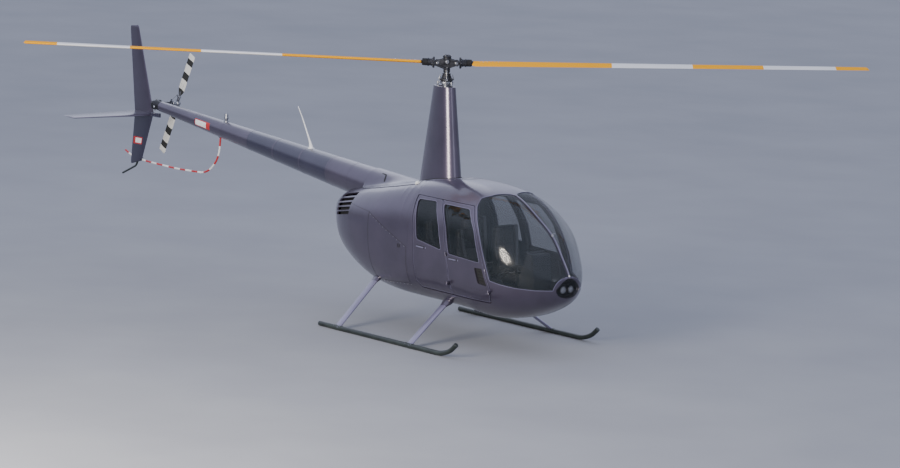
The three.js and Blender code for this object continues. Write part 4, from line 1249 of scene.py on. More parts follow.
class AddWindscreen(bpy.types.Operator):
    """The windscreen's two halves, their trim and the strip down the bow; the pale strips along the
    windscreen's edges and down the bow are painted highlights
    """
    bl_idname = "helicopter.windscreen"
    bl_label = "Windscreen"

    def execute(self, context):
        for hand, side in SIDES:
            bm = bmesh.new()
            skin_patch(bm, [screen_loop()], 0.004, GLASS, side, lined=0, fine=3)
            finish_piece(f"screen_{hand}", bm, ("screen",), AIRFRAME,
                         replaces=(f"windscreen_{hand}",))
            bm = bmesh.new()
            edge = [on_skin(x, z) for x, z in dense([*SCREEN_SILL, *SCREEN_AFT], closed=False)]
            edge += [on_roof(x, y) for x, y in dense(BROW, closed=False)]
            rim = [(skin_place(t, angle, side), skin_normal(t, angle, side)) for t, angle in edge]
            # A pale strip along the windscreen's edge; its pale paint is a painted highlight on the edge.
            strip(bm, rim, 0.006, 0.0014, 0.003)
            strip(bm, [(p - n * 0.010, n) for p, n in rim], 0.018, 0.0, 0.004, material=1)
            finish_piece(f"screen_trim_painted_highlight_{hand}", bm, ("strut", "lining"), AIRFRAME, sharp=50)

        bm = bmesh.new()
        start, end = row_at(BROW[-1][0]), row_at(SCREEN_SILL[0][0])
        rows = [start + (end - start) * k / BOW_STEPS for k in range(BOW_STEPS + 1)]
        bow = [(skin_place(t, QUARTER_TURN), skin_normal(t, QUARTER_TURN)) for t in rows]
        strip(bm, bow, 2 * BOW, 0.0006, 0.001, material=1)
        # The pale strip down the bow is a painted highlight on the bow's edge.
        strip(bm, bow, 0.009, 0.0030, 0.001)
        place, normal = bow[-2]
        stud(bm, place + normal * 0.0006, normal, 0.011, 0.004, 16, 2)
        finish_piece("screen_bow", bm, ("strut", "band", "white"), AIRFRAME, sharp=50)
        return {"FINISHED"}


# Cabin floor and the boxes under the seats: aft end, front end, top
FLOOR_TOP = 0.520
SEAT_BOXES = {"front": (0.930, 1.330, 0.720), "aft": (0.178, 0.700, 0.740)}
SEAT_BOX_HALF = 0.540
SEAT_BOX_SKIN = 0.003


def inner_half(x, z, gap):
    """Half the cabin's clear width low down, a gap in from its wall."""
    t = row_at(x)
    low, high = -QUARTER_TURN, 0.3
    for _ in range(24):
        middle = (low + high) / 2
        inner = skin_place(t, middle) - skin_normal(t, middle) * (CABIN_WALL + gap)
        if inner.z > z:
            high = middle
        else:
            low = middle
    return abs(inner.y)


def plan_ring(aft, fore, z, gap, widest):
    """A level outline across the cabin's floor, inside its walls."""
    steps = 8
    edge = []
    for k in range(steps + 1):
        x = aft + (fore - aft) * k / steps
        edge.append((x, min(inner_half(x, z, gap), widest)))
    return [from_mast(x, -half, z) for x, half in edge] + [from_mast(x, half, z)
                                                           for x, half in reversed(edge)]


class AddCabinFloor(bpy.types.Operator):
    """Carpet over the cabin floor, and trim on the boxes under the seats"""
    bl_idname = "helicopter.cabin_floor"
    bl_label = "Cabin floor"

    def execute(self, context):
        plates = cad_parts["cabin_floor"].data.materials
        plates.clear()
        plates.append(finish_of("lining"))
        bm = bmesh.new()
        for aft, fore in ((0.705, 0.925), (1.335, 1.880)):
            loft(bm, [plan_ring(aft, fore, FLOOR_TOP + rise, gap, 0.600)
                      for rise, gap in ((-0.002, 0.012), (0.005, 0.012), (0.008, 0.016))])
        finish_piece("floor_carpet", bm, ("carpet",), AIRFRAME, sharp=40)

        bm = bmesh.new()
        for aft, fore, top in SEAT_BOXES.values():
            levels = [FLOOR_TOP + (top - 0.002 - FLOOR_TOP) * k / 5 for k in range(6)]
            loft(bm, [plan_ring(aft, fore + SEAT_BOX_SKIN, z, 0.004, SEAT_BOX_HALF + SEAT_BOX_SKIN)
                      for z in levels])
            for side in (STARBOARD, PORT):
                low, high = sorted((side * 0.060, side * 0.420))
                block(bm, from_mast(fore, low, FLOOR_TOP + 0.060),
                      from_mast(fore + 0.009, high, top - 0.045))
                rod(bm, from_mast(fore, side * 0.24, top - 0.075),
                    from_mast(fore + 0.013, side * 0.24, top - 0.075), 0.012, 0.002, 20, 1)
        finish_piece("seat_boxes", bm, ("lining", "alloy"), AIRFRAME, bevel=0.006, segments=3)
        return {"FINISHED"}


# Seats: distance of each from the middle, half width, and where the front and top of each row's
# cushions stand
SEAT_MIDDLE = 0.290
SEAT_HALF = 0.215
SEAT_ROWS = {"front": (1.340, 0.815), "aft": (0.750, 0.835)}
# Outlines in x, z from the cushion's front and top
CUSHION = ((0.0, -0.095), (-0.004, -0.020), (-0.030, 0.0), (-0.200, -0.012), (-0.368, -0.020),
           (-0.370, -0.095))
BACK = ((-0.3703, -0.093), (-0.3703, -0.018), (-0.400, 0.180), (-0.452, 0.440), (-0.480, 0.582),
        (-0.500, 0.594), (-0.555, 0.586), (-0.566, 0.560), (-0.520, 0.250), (-0.485, -0.093))
VOXEL = 0.0095
PAD_SWELL = 0.016
PAD_STEPS = 20
# Half the thickness of a belt
BELT_HALF = 0.0012


def pad_form(outline, narrow):
    """A pad's plain form about its own middle: the outline from side to side, drawn in at both sides."""
    centre = Vector((sum(p[0] for p in outline), sum(p[1] for p in outline))) / len(outline)
    ring = [Vector(p) for p in dense(rounded(outline, 0.020, 3), 0.030)]
    rings = []
    for share in (-1.0, -0.985, -0.93, -0.8, -0.5, 0.0, 0.5, 0.8, 0.93, 0.985, 1.0):
        pull = 0.020 + 0.030 * max(0.0, abs(share) - 0.85) / 0.15
        places = []
        for p in ring:
            inward = centre - p
            at = p + inward.normalized() * pull
            wide = (SEAT_HALF - 0.010) * (1 - narrow * max(0.0, (at.y - 0.25) / 0.34) ** 2)
            places.append(Vector((at.x, share * wide, at.y)))
        rings.append(places)
    bm = bmesh.new()
    loft(bm, rings)
    bmesh.ops.recalc_face_normals(bm, faces=bm.faces[:])
    return mesh_of(bm, "pad form")


def applied(piece):
    """The piece's mesh with its modifiers in it; the piece goes."""
    result = bpy.data.meshes.new_from_object(piece.evaluated_get(bpy.context.evaluated_depsgraph_get()))
    bpy.data.objects.remove(piece)
    return result


def stuffed(outline, narrow):
    """A pad's form filled out by its stuffing, as a mesh."""
    scene = bpy.context.scene
    piece = bpy.data.objects.new("pad form", pad_form(outline, narrow))
    scene.collection.objects.link(piece)
    remesh = piece.modifiers.new("weave size", "REMESH")
    remesh.mode = "VOXEL"
    remesh.voxel_size = VOXEL
    mesh = applied(piece)
    rest = [v.co.copy() for v in mesh.vertices]
    piece = bpy.data.objects.new("pad", mesh)
    scene.collection.objects.link(piece)
    cloth = piece.modifiers.new("stuffing", "CLOTH")
    cloth.settings.quality = 5
    cloth.settings.use_pressure = True
    cloth.settings.uniform_pressure_force = 4.0
    cloth.settings.effector_weights.gravity = 0.0
    cloth.settings.tension_stiffness = 15.0
    cloth.settings.compression_stiffness = 15.0
    cloth.point_cache.frame_start = 1
    cloth.point_cache.frame_end = PAD_STEPS
    for moment in range(1, PAD_STEPS + 1):
        scene.frame_set(moment)
    mesh = applied(piece)
    scene.frame_set(1)
    for vert, start in zip(mesh.vertices, rest):
        step = vert.co - start
        if step.length > PAD_SWELL:
            vert.co = start + step.normalized() * PAD_SWELL
    return mesh


def sew(mesh, channels, rim, depth=0.006, width=0.008):
    """Sinks sewn channels into a pad: across where x or z holds a value, along at set distances from
    the middle, and round the rim where top meets side."""
    bm = bmesh.new()
    bm.from_mesh(mesh)
    bmesh.ops.subdivide_edges(bm, edges=bm.edges[:], cuts=1, use_grid_fill=True)
    bmesh.ops.smooth_vert(bm, verts=bm.verts[:], factor=0.5, use_axis_x=True, use_axis_y=True,
                          use_axis_z=True)
    bm.normal_update()
    for vert in bm.verts:
        sink = 0.0
        for axis, value in channels:
            away = (abs(vert.co.y) if axis == 1 else vert.co[axis]) - value
            sink = max(sink, math.exp(-(away / width) ** 2))
        sink = max(sink, 0.8 * math.exp(-((abs(vert.co.y) - rim) / width) ** 2))
        vert.co -= vert.normal * depth * sink
    bm.to_mesh(mesh)
    bm.free()


class AddSeats(bpy.types.Operator):
    """Four padded seats with sewn channels and their belts"""
    bl_idname = "helicopter.seats"
    bl_label = "Seats"

    def execute(self, context):
        cushion = stuffed(CUSHION, 0.0)
        back = stuffed(BACK, 0.30)
        sew(cushion, ((1, 0.075), (0, -0.275)), 0.190)
        sew(back, ((1, 0.075), (2, 0.330), (2, 0.060)), 0.185)
        for row, (front, top) in SEAT_ROWS.items():
            for hand, side in SIDES:
                place = from_mast(front, side * SEAT_MIDDLE, top)
                for kind, form in (("cushion", cushion), ("back", back)):
                    bm = bmesh.new()
                    bm.from_mesh(form)
                    shift(bm.verts, Matrix.Translation(place))
                    piece = finish_piece(f"{kind}_{row}_{hand}", bm, ("leather",), AIRFRAME,
                                         sharp=180, replaces=(f"seat_{kind}_{row}_{hand}",), keep=True,
                                         weighted=False)
                self.add_belts(row, hand, side, front, top)
        return {"FINISHED"}

    def add_belts(self, row, hand, side, front, top):
        bm = bmesh.new()
        seat = from_mast(front, side * SEAT_MIDDLE, top)

        def belt(points, width=0.046):
            path = [Vector(p) for p in smooth_path(points, 0.05, 4)]
            pairs = []
            for i, place in enumerate(path):
                run = heading(path, i)
                level = abs(run.y) >= abs(run.z) + abs(run.x)
                normal = run.cross(Vector((1, 0, 0) if level else (0, 1, 0))).normalized()
                if normal.z + normal.x < 0:
                    normal.negate()
                pairs.append((seat + Vector((place.x, side * place.y, place.z)), normal))
            strip(bm, pairs, width, BELT_HALF, BELT_HALF)

        belt([(-0.330, 0.222, -0.060), (-0.325, 0.205, 0.020), (-0.270, 0.120, 0.024), (-0.255, 0.0, 0.026),
              (-0.270, -0.120, 0.024), (-0.325, -0.205, 0.020), (-0.330, -0.222, -0.060)])
        belt([(-0.452, 0.130, 0.560), (-0.432, 0.130, 0.440), (-0.390, 0.110, 0.240),
              (-0.345, 0.060, 0.060), (-0.262, 0.012, 0.032)], 0.044)
        low = from_mast(front - 0.278, side * SEAT_MIDDLE - 0.030, top + 0.026)
        block(bm, low, low + Vector((0.050, 0.060, 0.012)), 1)
        finish_piece(f"belts_{row}_{hand}", bm, ("webbing", "steel"), AIRFRAME, bevel=0.0008,
                     sharp=50)


# Console between the front seats' footwells: its side view, and the panel's lower and upper edge
CONSOLE = ((1.560, 0.5205), (1.860, 0.5205), (1.890, 0.900), (1.850, 1.180), (1.760, 1.190), (1.640, 0.930))
CONSOLE_HALF = 0.140


def console_face(low, high):
    """Stands on one of the console's aft faces: X to port, Y up the face, Z out of it."""
    low, high = Vector((low[0], 0, low[1])), Vector((high[0], 0, high[1]))
    along = (high - low).normalized()
    columns = (Vector((0, 1, 0)), along, Vector((-along.z, 0, along.x)))
    return Matrix.Translation(from_mast(*low)) @ Matrix(columns).transposed().to_4x4()


class AddControls(bpy.types.Operator):
    """Instrument console, cyclic with its cross bar, collective levers and pedals"""
    bl_idname = "helicopter.controls"
    bl_label = "Controls"

    def execute(self, context):
        self.add_console()
        self.add_cyclic()
        self.add_levers()
        return {"FINISHED"}

    def add_console(self):
        outline = rounded(CONSOLE, 0.030, 4)
        bm = bmesh.new()
        side_plate(bm, outline, -CONSOLE_HALF + 0.004, CONSOLE_HALF - 0.004)
        for side in (STARBOARD, PORT):
            side_plate(bm, grown(outline, -0.018),
                       *sorted((side * (CONSOLE_HALF - 0.006), side * CONSOLE_HALF)))
        placed = set(bm.verts)
        hood = [(0.004, -0.008), (0.004, 0.012), (-0.034, 0.016), (-0.036, 0.012)]
        edge = CONSOLE_HALF - 0.006
        loft(bm, [[Vector((y, 0.274 + z, -x)) for x, z in hood] for y in (-edge, edge)])
        block(bm, (-0.126, 0.022, -0.004), (0.126, 0.262, 0.003), 1)
        for row in range(3):
            for column in (-0.080, 0.0, 0.080):
                middle = Vector((column, 0.224 - 0.078 * row, 0.003))
                turned(bm, [(0, 0.0010), (0.030, 0.0010), (0.032, 0.006), (0.036, 0.006), (0.037, 0.0),
                            (0, -0.002)], middle, (0, 0, 1), 32, 2)
                turned(bm, [(0, 0.0014), (0.0295, 0.0014), (0.0295, 0.0004), (0, 0.0004)], middle,
                       (0, 0, 1), 32, 1)
                for k in range(12):
                    angle = math.radians(30 * k)
                    spoke = Vector((math.sin(angle), math.cos(angle), 0))
                    mark = middle + Vector((0, 0, 0.0018))
                    if k != 6:
                        rod(bm, mark + spoke * 0.022, mark + spoke * 0.028, 0.0009, steps=6, material=3)
                lean = math.radians(40 + 95 * row + 500 * column)
                hand = Vector((math.sin(lean), math.cos(lean), 0))
                hub = middle + Vector((0, 0, 0.0026))
                rod(bm, hub - hand * 0.004, hub + hand * 0.021, 0.0012, steps=6, material=3,
                    end_radius=0.0005)
        shift_since(bm, placed, console_face(CONSOLE[5], CONSOLE[4]))

        placed = set(bm.verts)
        for z, height, knobs in ((0.330, 0.060, 2), (0.262, 0.052, 2), (0.196, 0.052, 4),
                                 (0.150, 0.030, 6)):
            block(bm, (-0.082, z, -0.004), (0.082, z + height, 0.006), 1)
            for k in range(knobs):
                spot = Vector((-0.066 + 0.132 * k / (knobs - 1), z + height / 2, 0.006))
                turned(bm, [(0, 0.014), (0.006, 0.014), (0.007, 0.012), (0.008, 0.0), (0, 0)], spot,
                       (0, 0, 1), 20, 2)
        shift_since(bm, placed, console_face(CONSOLE[0], CONSOLE[5]))
        finish_piece("console", bm, ("lining", "dial", "forging", "white"), AIRFRAME, bevel=0.002,
                     replaces=("instrument_console",))

    def add_cyclic(self):
        bm = bmesh.new()
        tube(bm, mast_path(((1.452, 0, 0.525), (1.440, 0, 0.640), (1.400, 0, 0.975)), 0.10), 0.014, 20,
             SIDEWAYS)
        cross_rod(bm, 1.400, 0, 0.975, 0.290, 0.011, 0.002, 20)
        cross_rod(bm, 1.400, 0, 0.975, 0.034, 0.020, 0.004, 24)
        turned(bm, [(0, 0.060), (0.017, 0.058), (0.024, 0.048), (0.020, 0.042), (0.034, 0.032),
                    (0.030, 0.024), (0.046, 0.012), (0.050, 0.0), (0.050, -0.004), (0, -0.004)],
               from_mast(1.450, 0, 0.529), (0, 0, 1), 32, 1)
        for side in (STARBOARD, PORT):
            foot, top = from_mast(1.400, side * 0.280, 0.962), from_mast(1.390, side * 0.280, 1.080)
            turned(bm, [(0, 0), (0.013, 0), (0.014, 0.014), (0.0165, 0.020), (0.0150, 0.034),
                        (0.0170, 0.044), (0.0152, 0.058), (0.0172, 0.070), (0.0155, 0.084),
                        (0.0170, 0.096), (0.0180, 0.108), (0.0140, 0.117), (0, 0.118)], foot,
                   top - foot, 28, 1)
            rod(bm, top + Vector((-0.006, 0, -0.022)), top + Vector((-0.022, 0, -0.020)), 0.004, 0.001,
                12, 2)
        finish_piece("cyclic", bm, ("forging", "rubber", "red"), AIRFRAME,
                     replaces=("cyclic_stick",))

    def add_levers(self):
        bm = bmesh.new()
        for y in (-0.040, 0.562):
            path = mast_path(((0.960, y, 0.735), (1.100, y, 0.765), (1.300, y, 0.900)), 0.09)
            tube(bm, path, 0.011, 16, SIDEWAYS)
            aim = path[-1] - path[-2]
            turned(bm, [(0, 0), (0.014, 0.002), (0.0165, 0.020), (0.0165, 0.110), (0.019, 0.116),
                        (0.019, 0.134), (0.012, 0.142), (0, 0.143)], path[-1] - aim.normalized() * 0.10,
                   aim, 24, 1)
        finish_piece("collectives", bm, ("forging", "rubber"), AIRFRAME)
        bm = bmesh.new()
        for middle in (-0.260, 0.260):
            for offset, x in ((-0.055, 1.720), (0.055, 1.695)):
                y = middle + offset
                stem = mast_path(((x + 0.050, y, 0.530), (x + 0.055, y, 0.590), (x, y, 0.680)), 0.05)
                tube(bm, stem, 0.008, 14, SIDEWAYS)
                cross_rod(bm, x + 0.050, y, 0.536, 0.020, 0.012, 0.002, 20)
                for k in range(3):
                    cross_rod(bm, x + 0.014 - 0.012 * k, y, 0.655 + 0.022 * k, 0.036, 0.009, 0.002, 16, 1)
        finish_piece("pedals", bm, ("alloy", "rubber"), AIRFRAME)
        bm = bmesh.new()
        foot = from_mast(2.036, 0, roof_height(2.036, 0))
        turned(bm, [(0, 0.012), (0.010, 0.012), (0.016, 0.006), (0.017, -0.006), (0, -0.006)], foot,
               (0.35, 0, 0.94), 24)
        bend = smooth_path([foot, foot + Vector((0.008, 0, 0.030)), foot + Vector((0.052, 0, 0.030))], 0.02)
        tube(bm, bend, 0.0045, 16, SIDEWAYS)
        finish_piece("bow_probe", bm, ("alloy",), AIRFRAME, sharp=50)


def round_mast(angle):
    """Carries a piece from the frame's middle to the mast, turned about it."""
    return Matrix.Translation(from_mast(0, 0, 0)) @ Matrix.Rotation(angle, 4, "Z")


# Engine: a flat six behind the cabin, carried by two bearers
ENGINE_AXIS = 0.850
CYLINDERS = (-0.660, -0.470, -0.280)


class AddEngine(bpy.types.Operator):
    """Engine, exhaust and main gearbox under the cowl"""
    bl_idname = "helicopter.engine"
    bl_label = "Engine"

    def execute(self, context):
        bm = bmesh.new()
        case = rounded([(-0.135, -0.085), (0.135, -0.085), (0.135, 0.060), (0.070, 0.125), (-0.070, 0.125),
                        (-0.135, 0.060)], 0.030, 3)
        spots = ((-0.760, 0.90), (-0.750, 1.0), (-0.200, 1.0), (-0.150, 0.86), (-0.115, 0.50))
        loft(bm, [[from_mast(x, y * k, ENGINE_AXIS + z * k) for y, z in case] for x, k in spots])
        block(bm, from_mast(-0.700, -0.110, 0.664), from_mast(-0.230, 0.110, 0.770))
        for side in (STARBOARD, PORT):
            for x in CYLINDERS:
                profile = [(0, 0)]
                for k in range(13):
                    out = 0.010 + 0.014 * k
                    profile += [(0.058, out), (0.078, out + 0.002), (0.078, out + 0.005),
                                (0.058, out + 0.007)]
                profile += [(0.066, 0.196), (0.066, 0.225), (0, 0.225)]
                turned(bm, profile, from_mast(x, side * 0.130, ENGINE_AXIS), (0, side, 0), 32)
                block(bm, from_mast(x - 0.070, side * 0.350, ENGINE_AXIS - 0.040),
                      from_mast(x + 0.070, side * 0.396, ENGINE_AXIS + 0.045), 1)
                outlet = ((x, side * 0.300, 0.790), (x, side * 0.300, 0.700),
                          (x - 0.08, side * 0.290, 0.690))
                tube(bm, mast_path(outlet, 0.05), 0.020, 16, SIDEWAYS, 2)
                inlet = ((x, side * 0.290, 0.920), (x, side * 0.200, 1.000), (x, side * 0.080, 0.985))
                tube(bm, mast_path(inlet, 0.05), 0.017, 16, Vector((1, 0, 0)), 1)
            tube(bm, [from_mast(-0.250, side * 0.290, 0.690), from_mast(-0.780, side * 0.290, 0.690)],
                 0.026, 20, SIDEWAYS, 2)
            block(bm, from_mast(-0.200, side * 0.224, 0.764),
                  from_mast(CABIN_AFT - 0.001, side * 0.276, 0.836), 3)
            block(bm, from_mast(-0.240, 0, 0.770), from_mast(-0.200, side * 0.276, 0.830), 3)
        turned(bm, [(0, -0.030), (0.150, -0.030), (0.178, -0.010), (0.178, 0.012), (0.160, 0.014),
                    (0.120, -0.008), (0.050, -0.006), (0.046, 0.020), (0, 0.022)],
               from_mast(-0.772, 0, ENGINE_AXIS), (-1, 0, 0), 48, 1)
        for k in range(18):
            spin = Matrix.Rotation(2 * math.pi * k / 18, 4, "X")
            vane = block(bm, (-0.014, 0.080, -0.002), (0.010, 0.160, 0.002), 1)
            shift(vane, Matrix.Translation(from_mast(-0.778, 0, ENGINE_AXIS)) @ spin)
        finish_piece("engine", bm, ("cast", "forging", "steel", "lining"), AIRFRAME, bevel=0.0015,
                     replaces=("engine_block",))

        bm = bmesh.new()
        pipe = mast_path(((-0.740, 0.170, 0.6596), (-0.740, 0.170, 0.560), (-0.900, 0.170, 0.500)),
                         0.08, 10)
        last, aim = pipe[-1], (pipe[-1] - pipe[-2]).normalized()
        rings = [round_ring(p, heading(pipe, i), 0.036, 32, SIDEWAYS) for i, p in enumerate(pipe)]
        for back, radius in ((0.0, 0.033), (0.120, 0.033), (0.121, 0.004)):
            rings.append(round_ring(last - aim * back * 0.6, aim, radius, 32, SIDEWAYS))
        loft(bm, rings)
        turned(bm, [(0.034, 0), (0.052, 0), (0.052, -0.008), (0.034, -0.008), (0.034, 0)], pipe[0],
               (0, 0, 1), 32)
        finish_piece("exhaust", bm, ("cast",), AIRFRAME, replaces=("exhaust_pipe",), sharp=50)

        bm = bmesh.new()
        turned(bm, [(0, 1.190), (0.090, 1.190), (0.100, 1.200), (0.118, 1.210), (0.118, 1.262),
                    (0.140, 1.268), (0.140, 1.290), (0.122, 1.296), (0.116, 1.330), (0.088, 1.372),
                    (0.062, 1.392), (0.062, 1.4195), (0, 1.4195)], from_mast(0, 0, 0), (0, 0, 1), 56)
        for k in range(14):
            angle = 2 * math.pi * k / 14
            stud(bm, from_mast(0.131 * math.cos(angle), 0.131 * math.sin(angle), 1.290), (0, 0, 1), 0.007,
                 0.008, 6, 1)
        rib = ((0.060, 1.294), (0.128, 1.294), (0.092, 1.374), (0.060, 1.392))
        for k in range(8):
            placed = set(bm.verts)
            loft(bm, [[Vector((x, y, z)) for x, z in rib] for y in (-0.004, 0.004)])
            shift_since(bm, placed, round_mast(2 * math.pi * (k + 0.5) / 8))
        rod(bm, from_mast(-0.138, 0, 1.250), from_mast(-0.100, 0, 1.250), 0.045, 0.003, 28)
        bracket = [(0.060, 1.232), (CABIN_AFT - 0.001, 1.232), (CABIN_AFT - 0.001, 1.358), (0.060, 1.290)]
        for y0, y1 in ((-0.090, -0.060), (0.060, 0.090)):
            side_plate(bm, bracket, y0, y1, 2)
        finish_piece("gearbox", bm, ("cast", "steel", "lining"), AIRFRAME, bevel=0.002,
                     replaces=("main_gearbox",))
        return {"FINISHED"}


# Engine cowl
COWL_LOUVRES = tuple(
    ((-1.455 - 0.012 * i, 1.234 + 0.0505 * i), (-1.088, 1.295 + 0.0555 * i),
     (-1.088, 1.332 + 0.0555 * i), (-1.455 - 0.012 * i, 1.270 + 0.0505 * i)) for i in range(5))
BELLY_HOLE = ((-1.130, 0.300), (-0.600, 0.300))


def cone_at(x):
    """Height of the tail cone's axis and its radius at x."""
    (x0, z0, r0), (x1, z1, r1) = CONE
    f = (x - x0) / (x1 - x0)
    return z0 + (z1 - z0) * f, r0 + (r1 - r0) * f


def cone_angle(t, gap):
    """The highest angle at which the skin at row t stays clear of the tail cone."""
    x = section(t)[0]
    height, radius = cone_at(x)

    def clear(angle):
        place = skin_place(t, angle)
        return math.hypot(place.y, place.z - height) >= radius + gap

    if x > CONE[0][0] or clear(QUARTER_TURN):
        return QUARTER_TURN
    return turning_point(0.1, QUARTER_TURN, clear, 30)[0]


def cowl_edge():
    """The starboard half of the cowl's skin, with a notch in the belly for the exhaust."""
    front, aft = row_at(CABIN_AFT - 0.0015), len(BODY) - 1.0
    steps = 60
    bottom = []
    for k in range(steps):
        t = aft + (front - aft) * k / steps
        x = section(t)[0]
        if BELLY_HOLE[0][0] < x < BELLY_HOLE[1][0]:
            bottom.append((t, -bow_angle(t, BELLY_HOLE[0][1], -1)))
        else:
            bottom.append((t, -QUARTER_TURN))
    up = [(front, -QUARTER_TURN + math.pi * k / 48) for k in range(48)]
    rows = [front + (aft - front) * k / 90 for k in range(90)]
    top = [(t, cone_angle(t, CONE_SEAM)) for t in rows]
    down = [(aft, QUARTER_TURN - math.pi * k / 24) for k in range(24)]
    return bottom + up + top + down


# Gap between the cowl and the tail cone that leaves it
CONE_SEAM = 0.004
COWL_DIAGONAL = ((-0.636, 1.392), (0.125, 1.078))


class AddEngineCowl(bpy.types.Operator):
    """The engine cowl with its louvres, seams and fasteners"""
    bl_idname = "helicopter.engine_cowl"
    bl_label = "Engine cowl"

    def execute(self, context):
        bm = bmesh.new()
        loops = [cowl_edge()] + [side_loop(louvre, step=0.04) for louvre in COWL_LOUVRES]
        skin_patch(bm, loops, 0.0, COWL_WALL, open_middle=True)
        mirror_across(bm)
        turned(bm, [(0, 0.002), (0.012, 0.001), (0.018, -0.003), (0, -0.004)],
               from_mast(-1.7625, 0, 1.2735), (-1, 0, 0))
        finish_piece("cowl_skin", bm, ("paint", "forging"), AIRFRAME, bevel=0.0015,
                     replaces=("engine_cowl_right", "engine_cowl_left"))
        for hand, side in SIDES:
            bm = bmesh.new()
            # A near-black sheet behind the louvres; painted shade that darkens the slots.
            painted_shade_sheet = ((-1.540, 1.215), (-1.050, 1.280), (-1.050, 1.570), (-1.530, 1.480))
            skin_patch(bm, [side_loop(painted_shade_sheet)], 0.050, 0.004, side, lined=0)
            for low, high, upper, _ in COWL_LOUVRES:
                slat = [low, high, (high[0], high[1] - 0.010), (low[0], low[1] - 0.010)]
                skin_patch(bm, [side_loop(slat, step=0.05)], COWL_WALL - 0.004, 0.030, side, lined=0)
            upright = [[(-0.636, 1.392), (-0.625, 1.150), (-0.570, 0.580)],
                       [(0.125, 1.078), (0.128, 0.640)]]
            lower = [(-0.570, 0.575), (0.140, 0.628)]
            for line in (COWL_DIAGONAL, *upright, lower, [(-0.636, 1.392), (-1.060, 1.425)]):
                seam(bm, line, side)
            finish_piece(f"cowl_seams_and_painted_shade_{hand}", bm, ("rubber",), AIRFRAME, sharp=50)
            bm = bmesh.new()
            for line in (COWL_DIAGONAL, lower):
                studs_along(bm, skin_path([(x, z - 0.016) for x, z in line], 0.0, side), 0.075, 0.006,
                            0.0016, 0, 10)
            for half, width, rise in ((0.012, 0.004, 0.003), (0.022, 0.003, 0.002)):
                square = [(-0.008 + a * half, 1.071 + b * half)
                          for a, b in ((-1, 1), (1, 1), (1, -1), (-1, -1))]
                seam(bm, square, side, width, rise, 1, True)
            finish_piece(f"cowl_fasteners_{hand}", bm, ("alloy", "rubber"), AIRFRAME, sharp=50)
        return {"FINISHED"}


# Mast fairing: x of its front, x of its tail, half thickness, height
FAIRING = ((0.345, -0.430, 0.190, 1.740), (0.310, -0.415, 0.150, 1.835), (0.286, -0.410, 0.130, 1.870),
           (0.140, -0.225, 0.088, 2.945))
FAIRING_TOP = FAIRING[-1][3]


def fairing_row(z):
    """Front, tail and half thickness of the mast fairing's straight part at a height."""
    low, high = FAIRING[2], FAIRING[3]
    share = (z - low[3]) / (high[3] - low[3])
    return tuple(a + (b - a) * share for a, b in zip(low[:3], high[:3]))


def fairing_place(angle, z, inset=0.0):
    """A place round the mast fairing; angle 0 is its front."""
    front, tail, half = fairing_row(z)
    nose, end, half = front - inset, tail + inset * 1.6, half - inset
    middle = nose - half * 1.35
    c, s = math.cos(angle), math.sin(angle)
    reach = nose - middle if c >= 0 else middle - end
    y = half * s * (1 if c >= 0 else 1 - 0.35 * c * c)
    return from_mast(middle + reach * c, y, z)


def on_fairing(angle, rise, inset=0.0):
    """A place round the mast fairing at a height above the roof there."""
    place = fairing_place(angle, FAIRING[2][3], inset)
    return fairing_place(angle, roof_height(place.x - MAST_X, place.y) + rise, inset)


# Radius of the hollow sweep between the fairing and the roof
FLARE = 0.014


class AddMastFairing(bpy.types.Operator):
    """The streamlined fairing round the mast and its foot on the roof"""
    bl_idname = "helicopter.mast_fairing"
    bl_label = "Mast fairing"

    def execute(self, context):
        bm = bmesh.new()
        rings = []
        for k in range(13):
            ring = []
            for angle in ROUND_ANGLES:
                low = on_fairing(angle, 0.004).z
                ring.append(fairing_place(angle, low + (FAIRING_TOP - low) * k / 12))
            rings.append(ring)
        for rise, inset in ((0.003, 0.003), (0.003, 0.028), (-0.030, 0.032)):
            rings.append([fairing_place(angle, FAIRING_TOP + rise, inset) for angle in ROUND_ANGLES])
        loft(bm, rings)
        finish_piece("mast_fairing_skin", bm, ("paint",), AIRFRAME, replaces=("mast_fairing",))

        bm = bmesh.new()
        rings = [[on_fairing(angle, -0.010, -0.004) for angle in ROUND_ANGLES],
                 [on_fairing(angle, FLARE, -0.0005) for angle in ROUND_ANGLES]]
        for k in range(11):
            lean = QUARTER_TURN * k / 10
            out, rise = FLARE * (1 - math.cos(lean)) + 0.002, FLARE * (1 - math.sin(lean)) + 0.001
            ring = []
            for angle in ROUND_ANGLES:
                place = on_fairing(angle, rise, -out)
                place.z = roof_height(place.x - MAST_X, place.y) + rise
                ring.append(place)
            rings.append(ring)
        rings.append([place - Vector((0, 0, 0.006)) for place in rings[-1]])
        loft(bm, rings, False)
        finish_piece("mast_fairing_foot", bm, ("paint",), AIRFRAME, sharp=50)

        bm = bmesh.new()
        path = [(on_fairing(angle, FLARE + 0.003, -0.001), Vector((math.cos(angle), math.sin(angle), 0.0)))
                for angle in ROUND_ANGLES]
        strip(bm, path, 0.009, 0.0016, 0.004, True)
        finish_piece("mast_fairing_seam", bm, ("rubber",), AIRFRAME, sharp=50)
        return {"FINISHED"}


# Fairing behind the mast: the tail cone's own line carried forward, with a flange that sweeps down to
# the cowl; x and the flange's distance from the middle
CONE_FLANGE = ((-0.020, 0.380), (-0.444, 0.374), (-0.857, 0.357), (-1.100, 0.325), (-1.232, 0.260))
CONE_MARGIN = 0.012
CONE_SWEEP = 0.060
# Share of the radius where the circle turns into a straight flank, and how steep that is
CONE_FLANK = 0.96
FLANK_SLOPE = 3.0
FLANGE_THICK = 0.003
FLANGE_EASE = 0.05


def along_flange(share):
    """x at a share of the flange's length."""
    return CONE_FLANGE[0][0] + (CONE_FLANGE[-1][0] - CONE_FLANGE[0][0]) * share


def flange_reach(x):
    for (x0, y0), (x1, y1) in zip(CONE_FLANGE, CONE_FLANGE[1:]):
        if x >= x1:
            break
    return y0 + (y1 - y0) * (x - x0) / (x1 - x0)


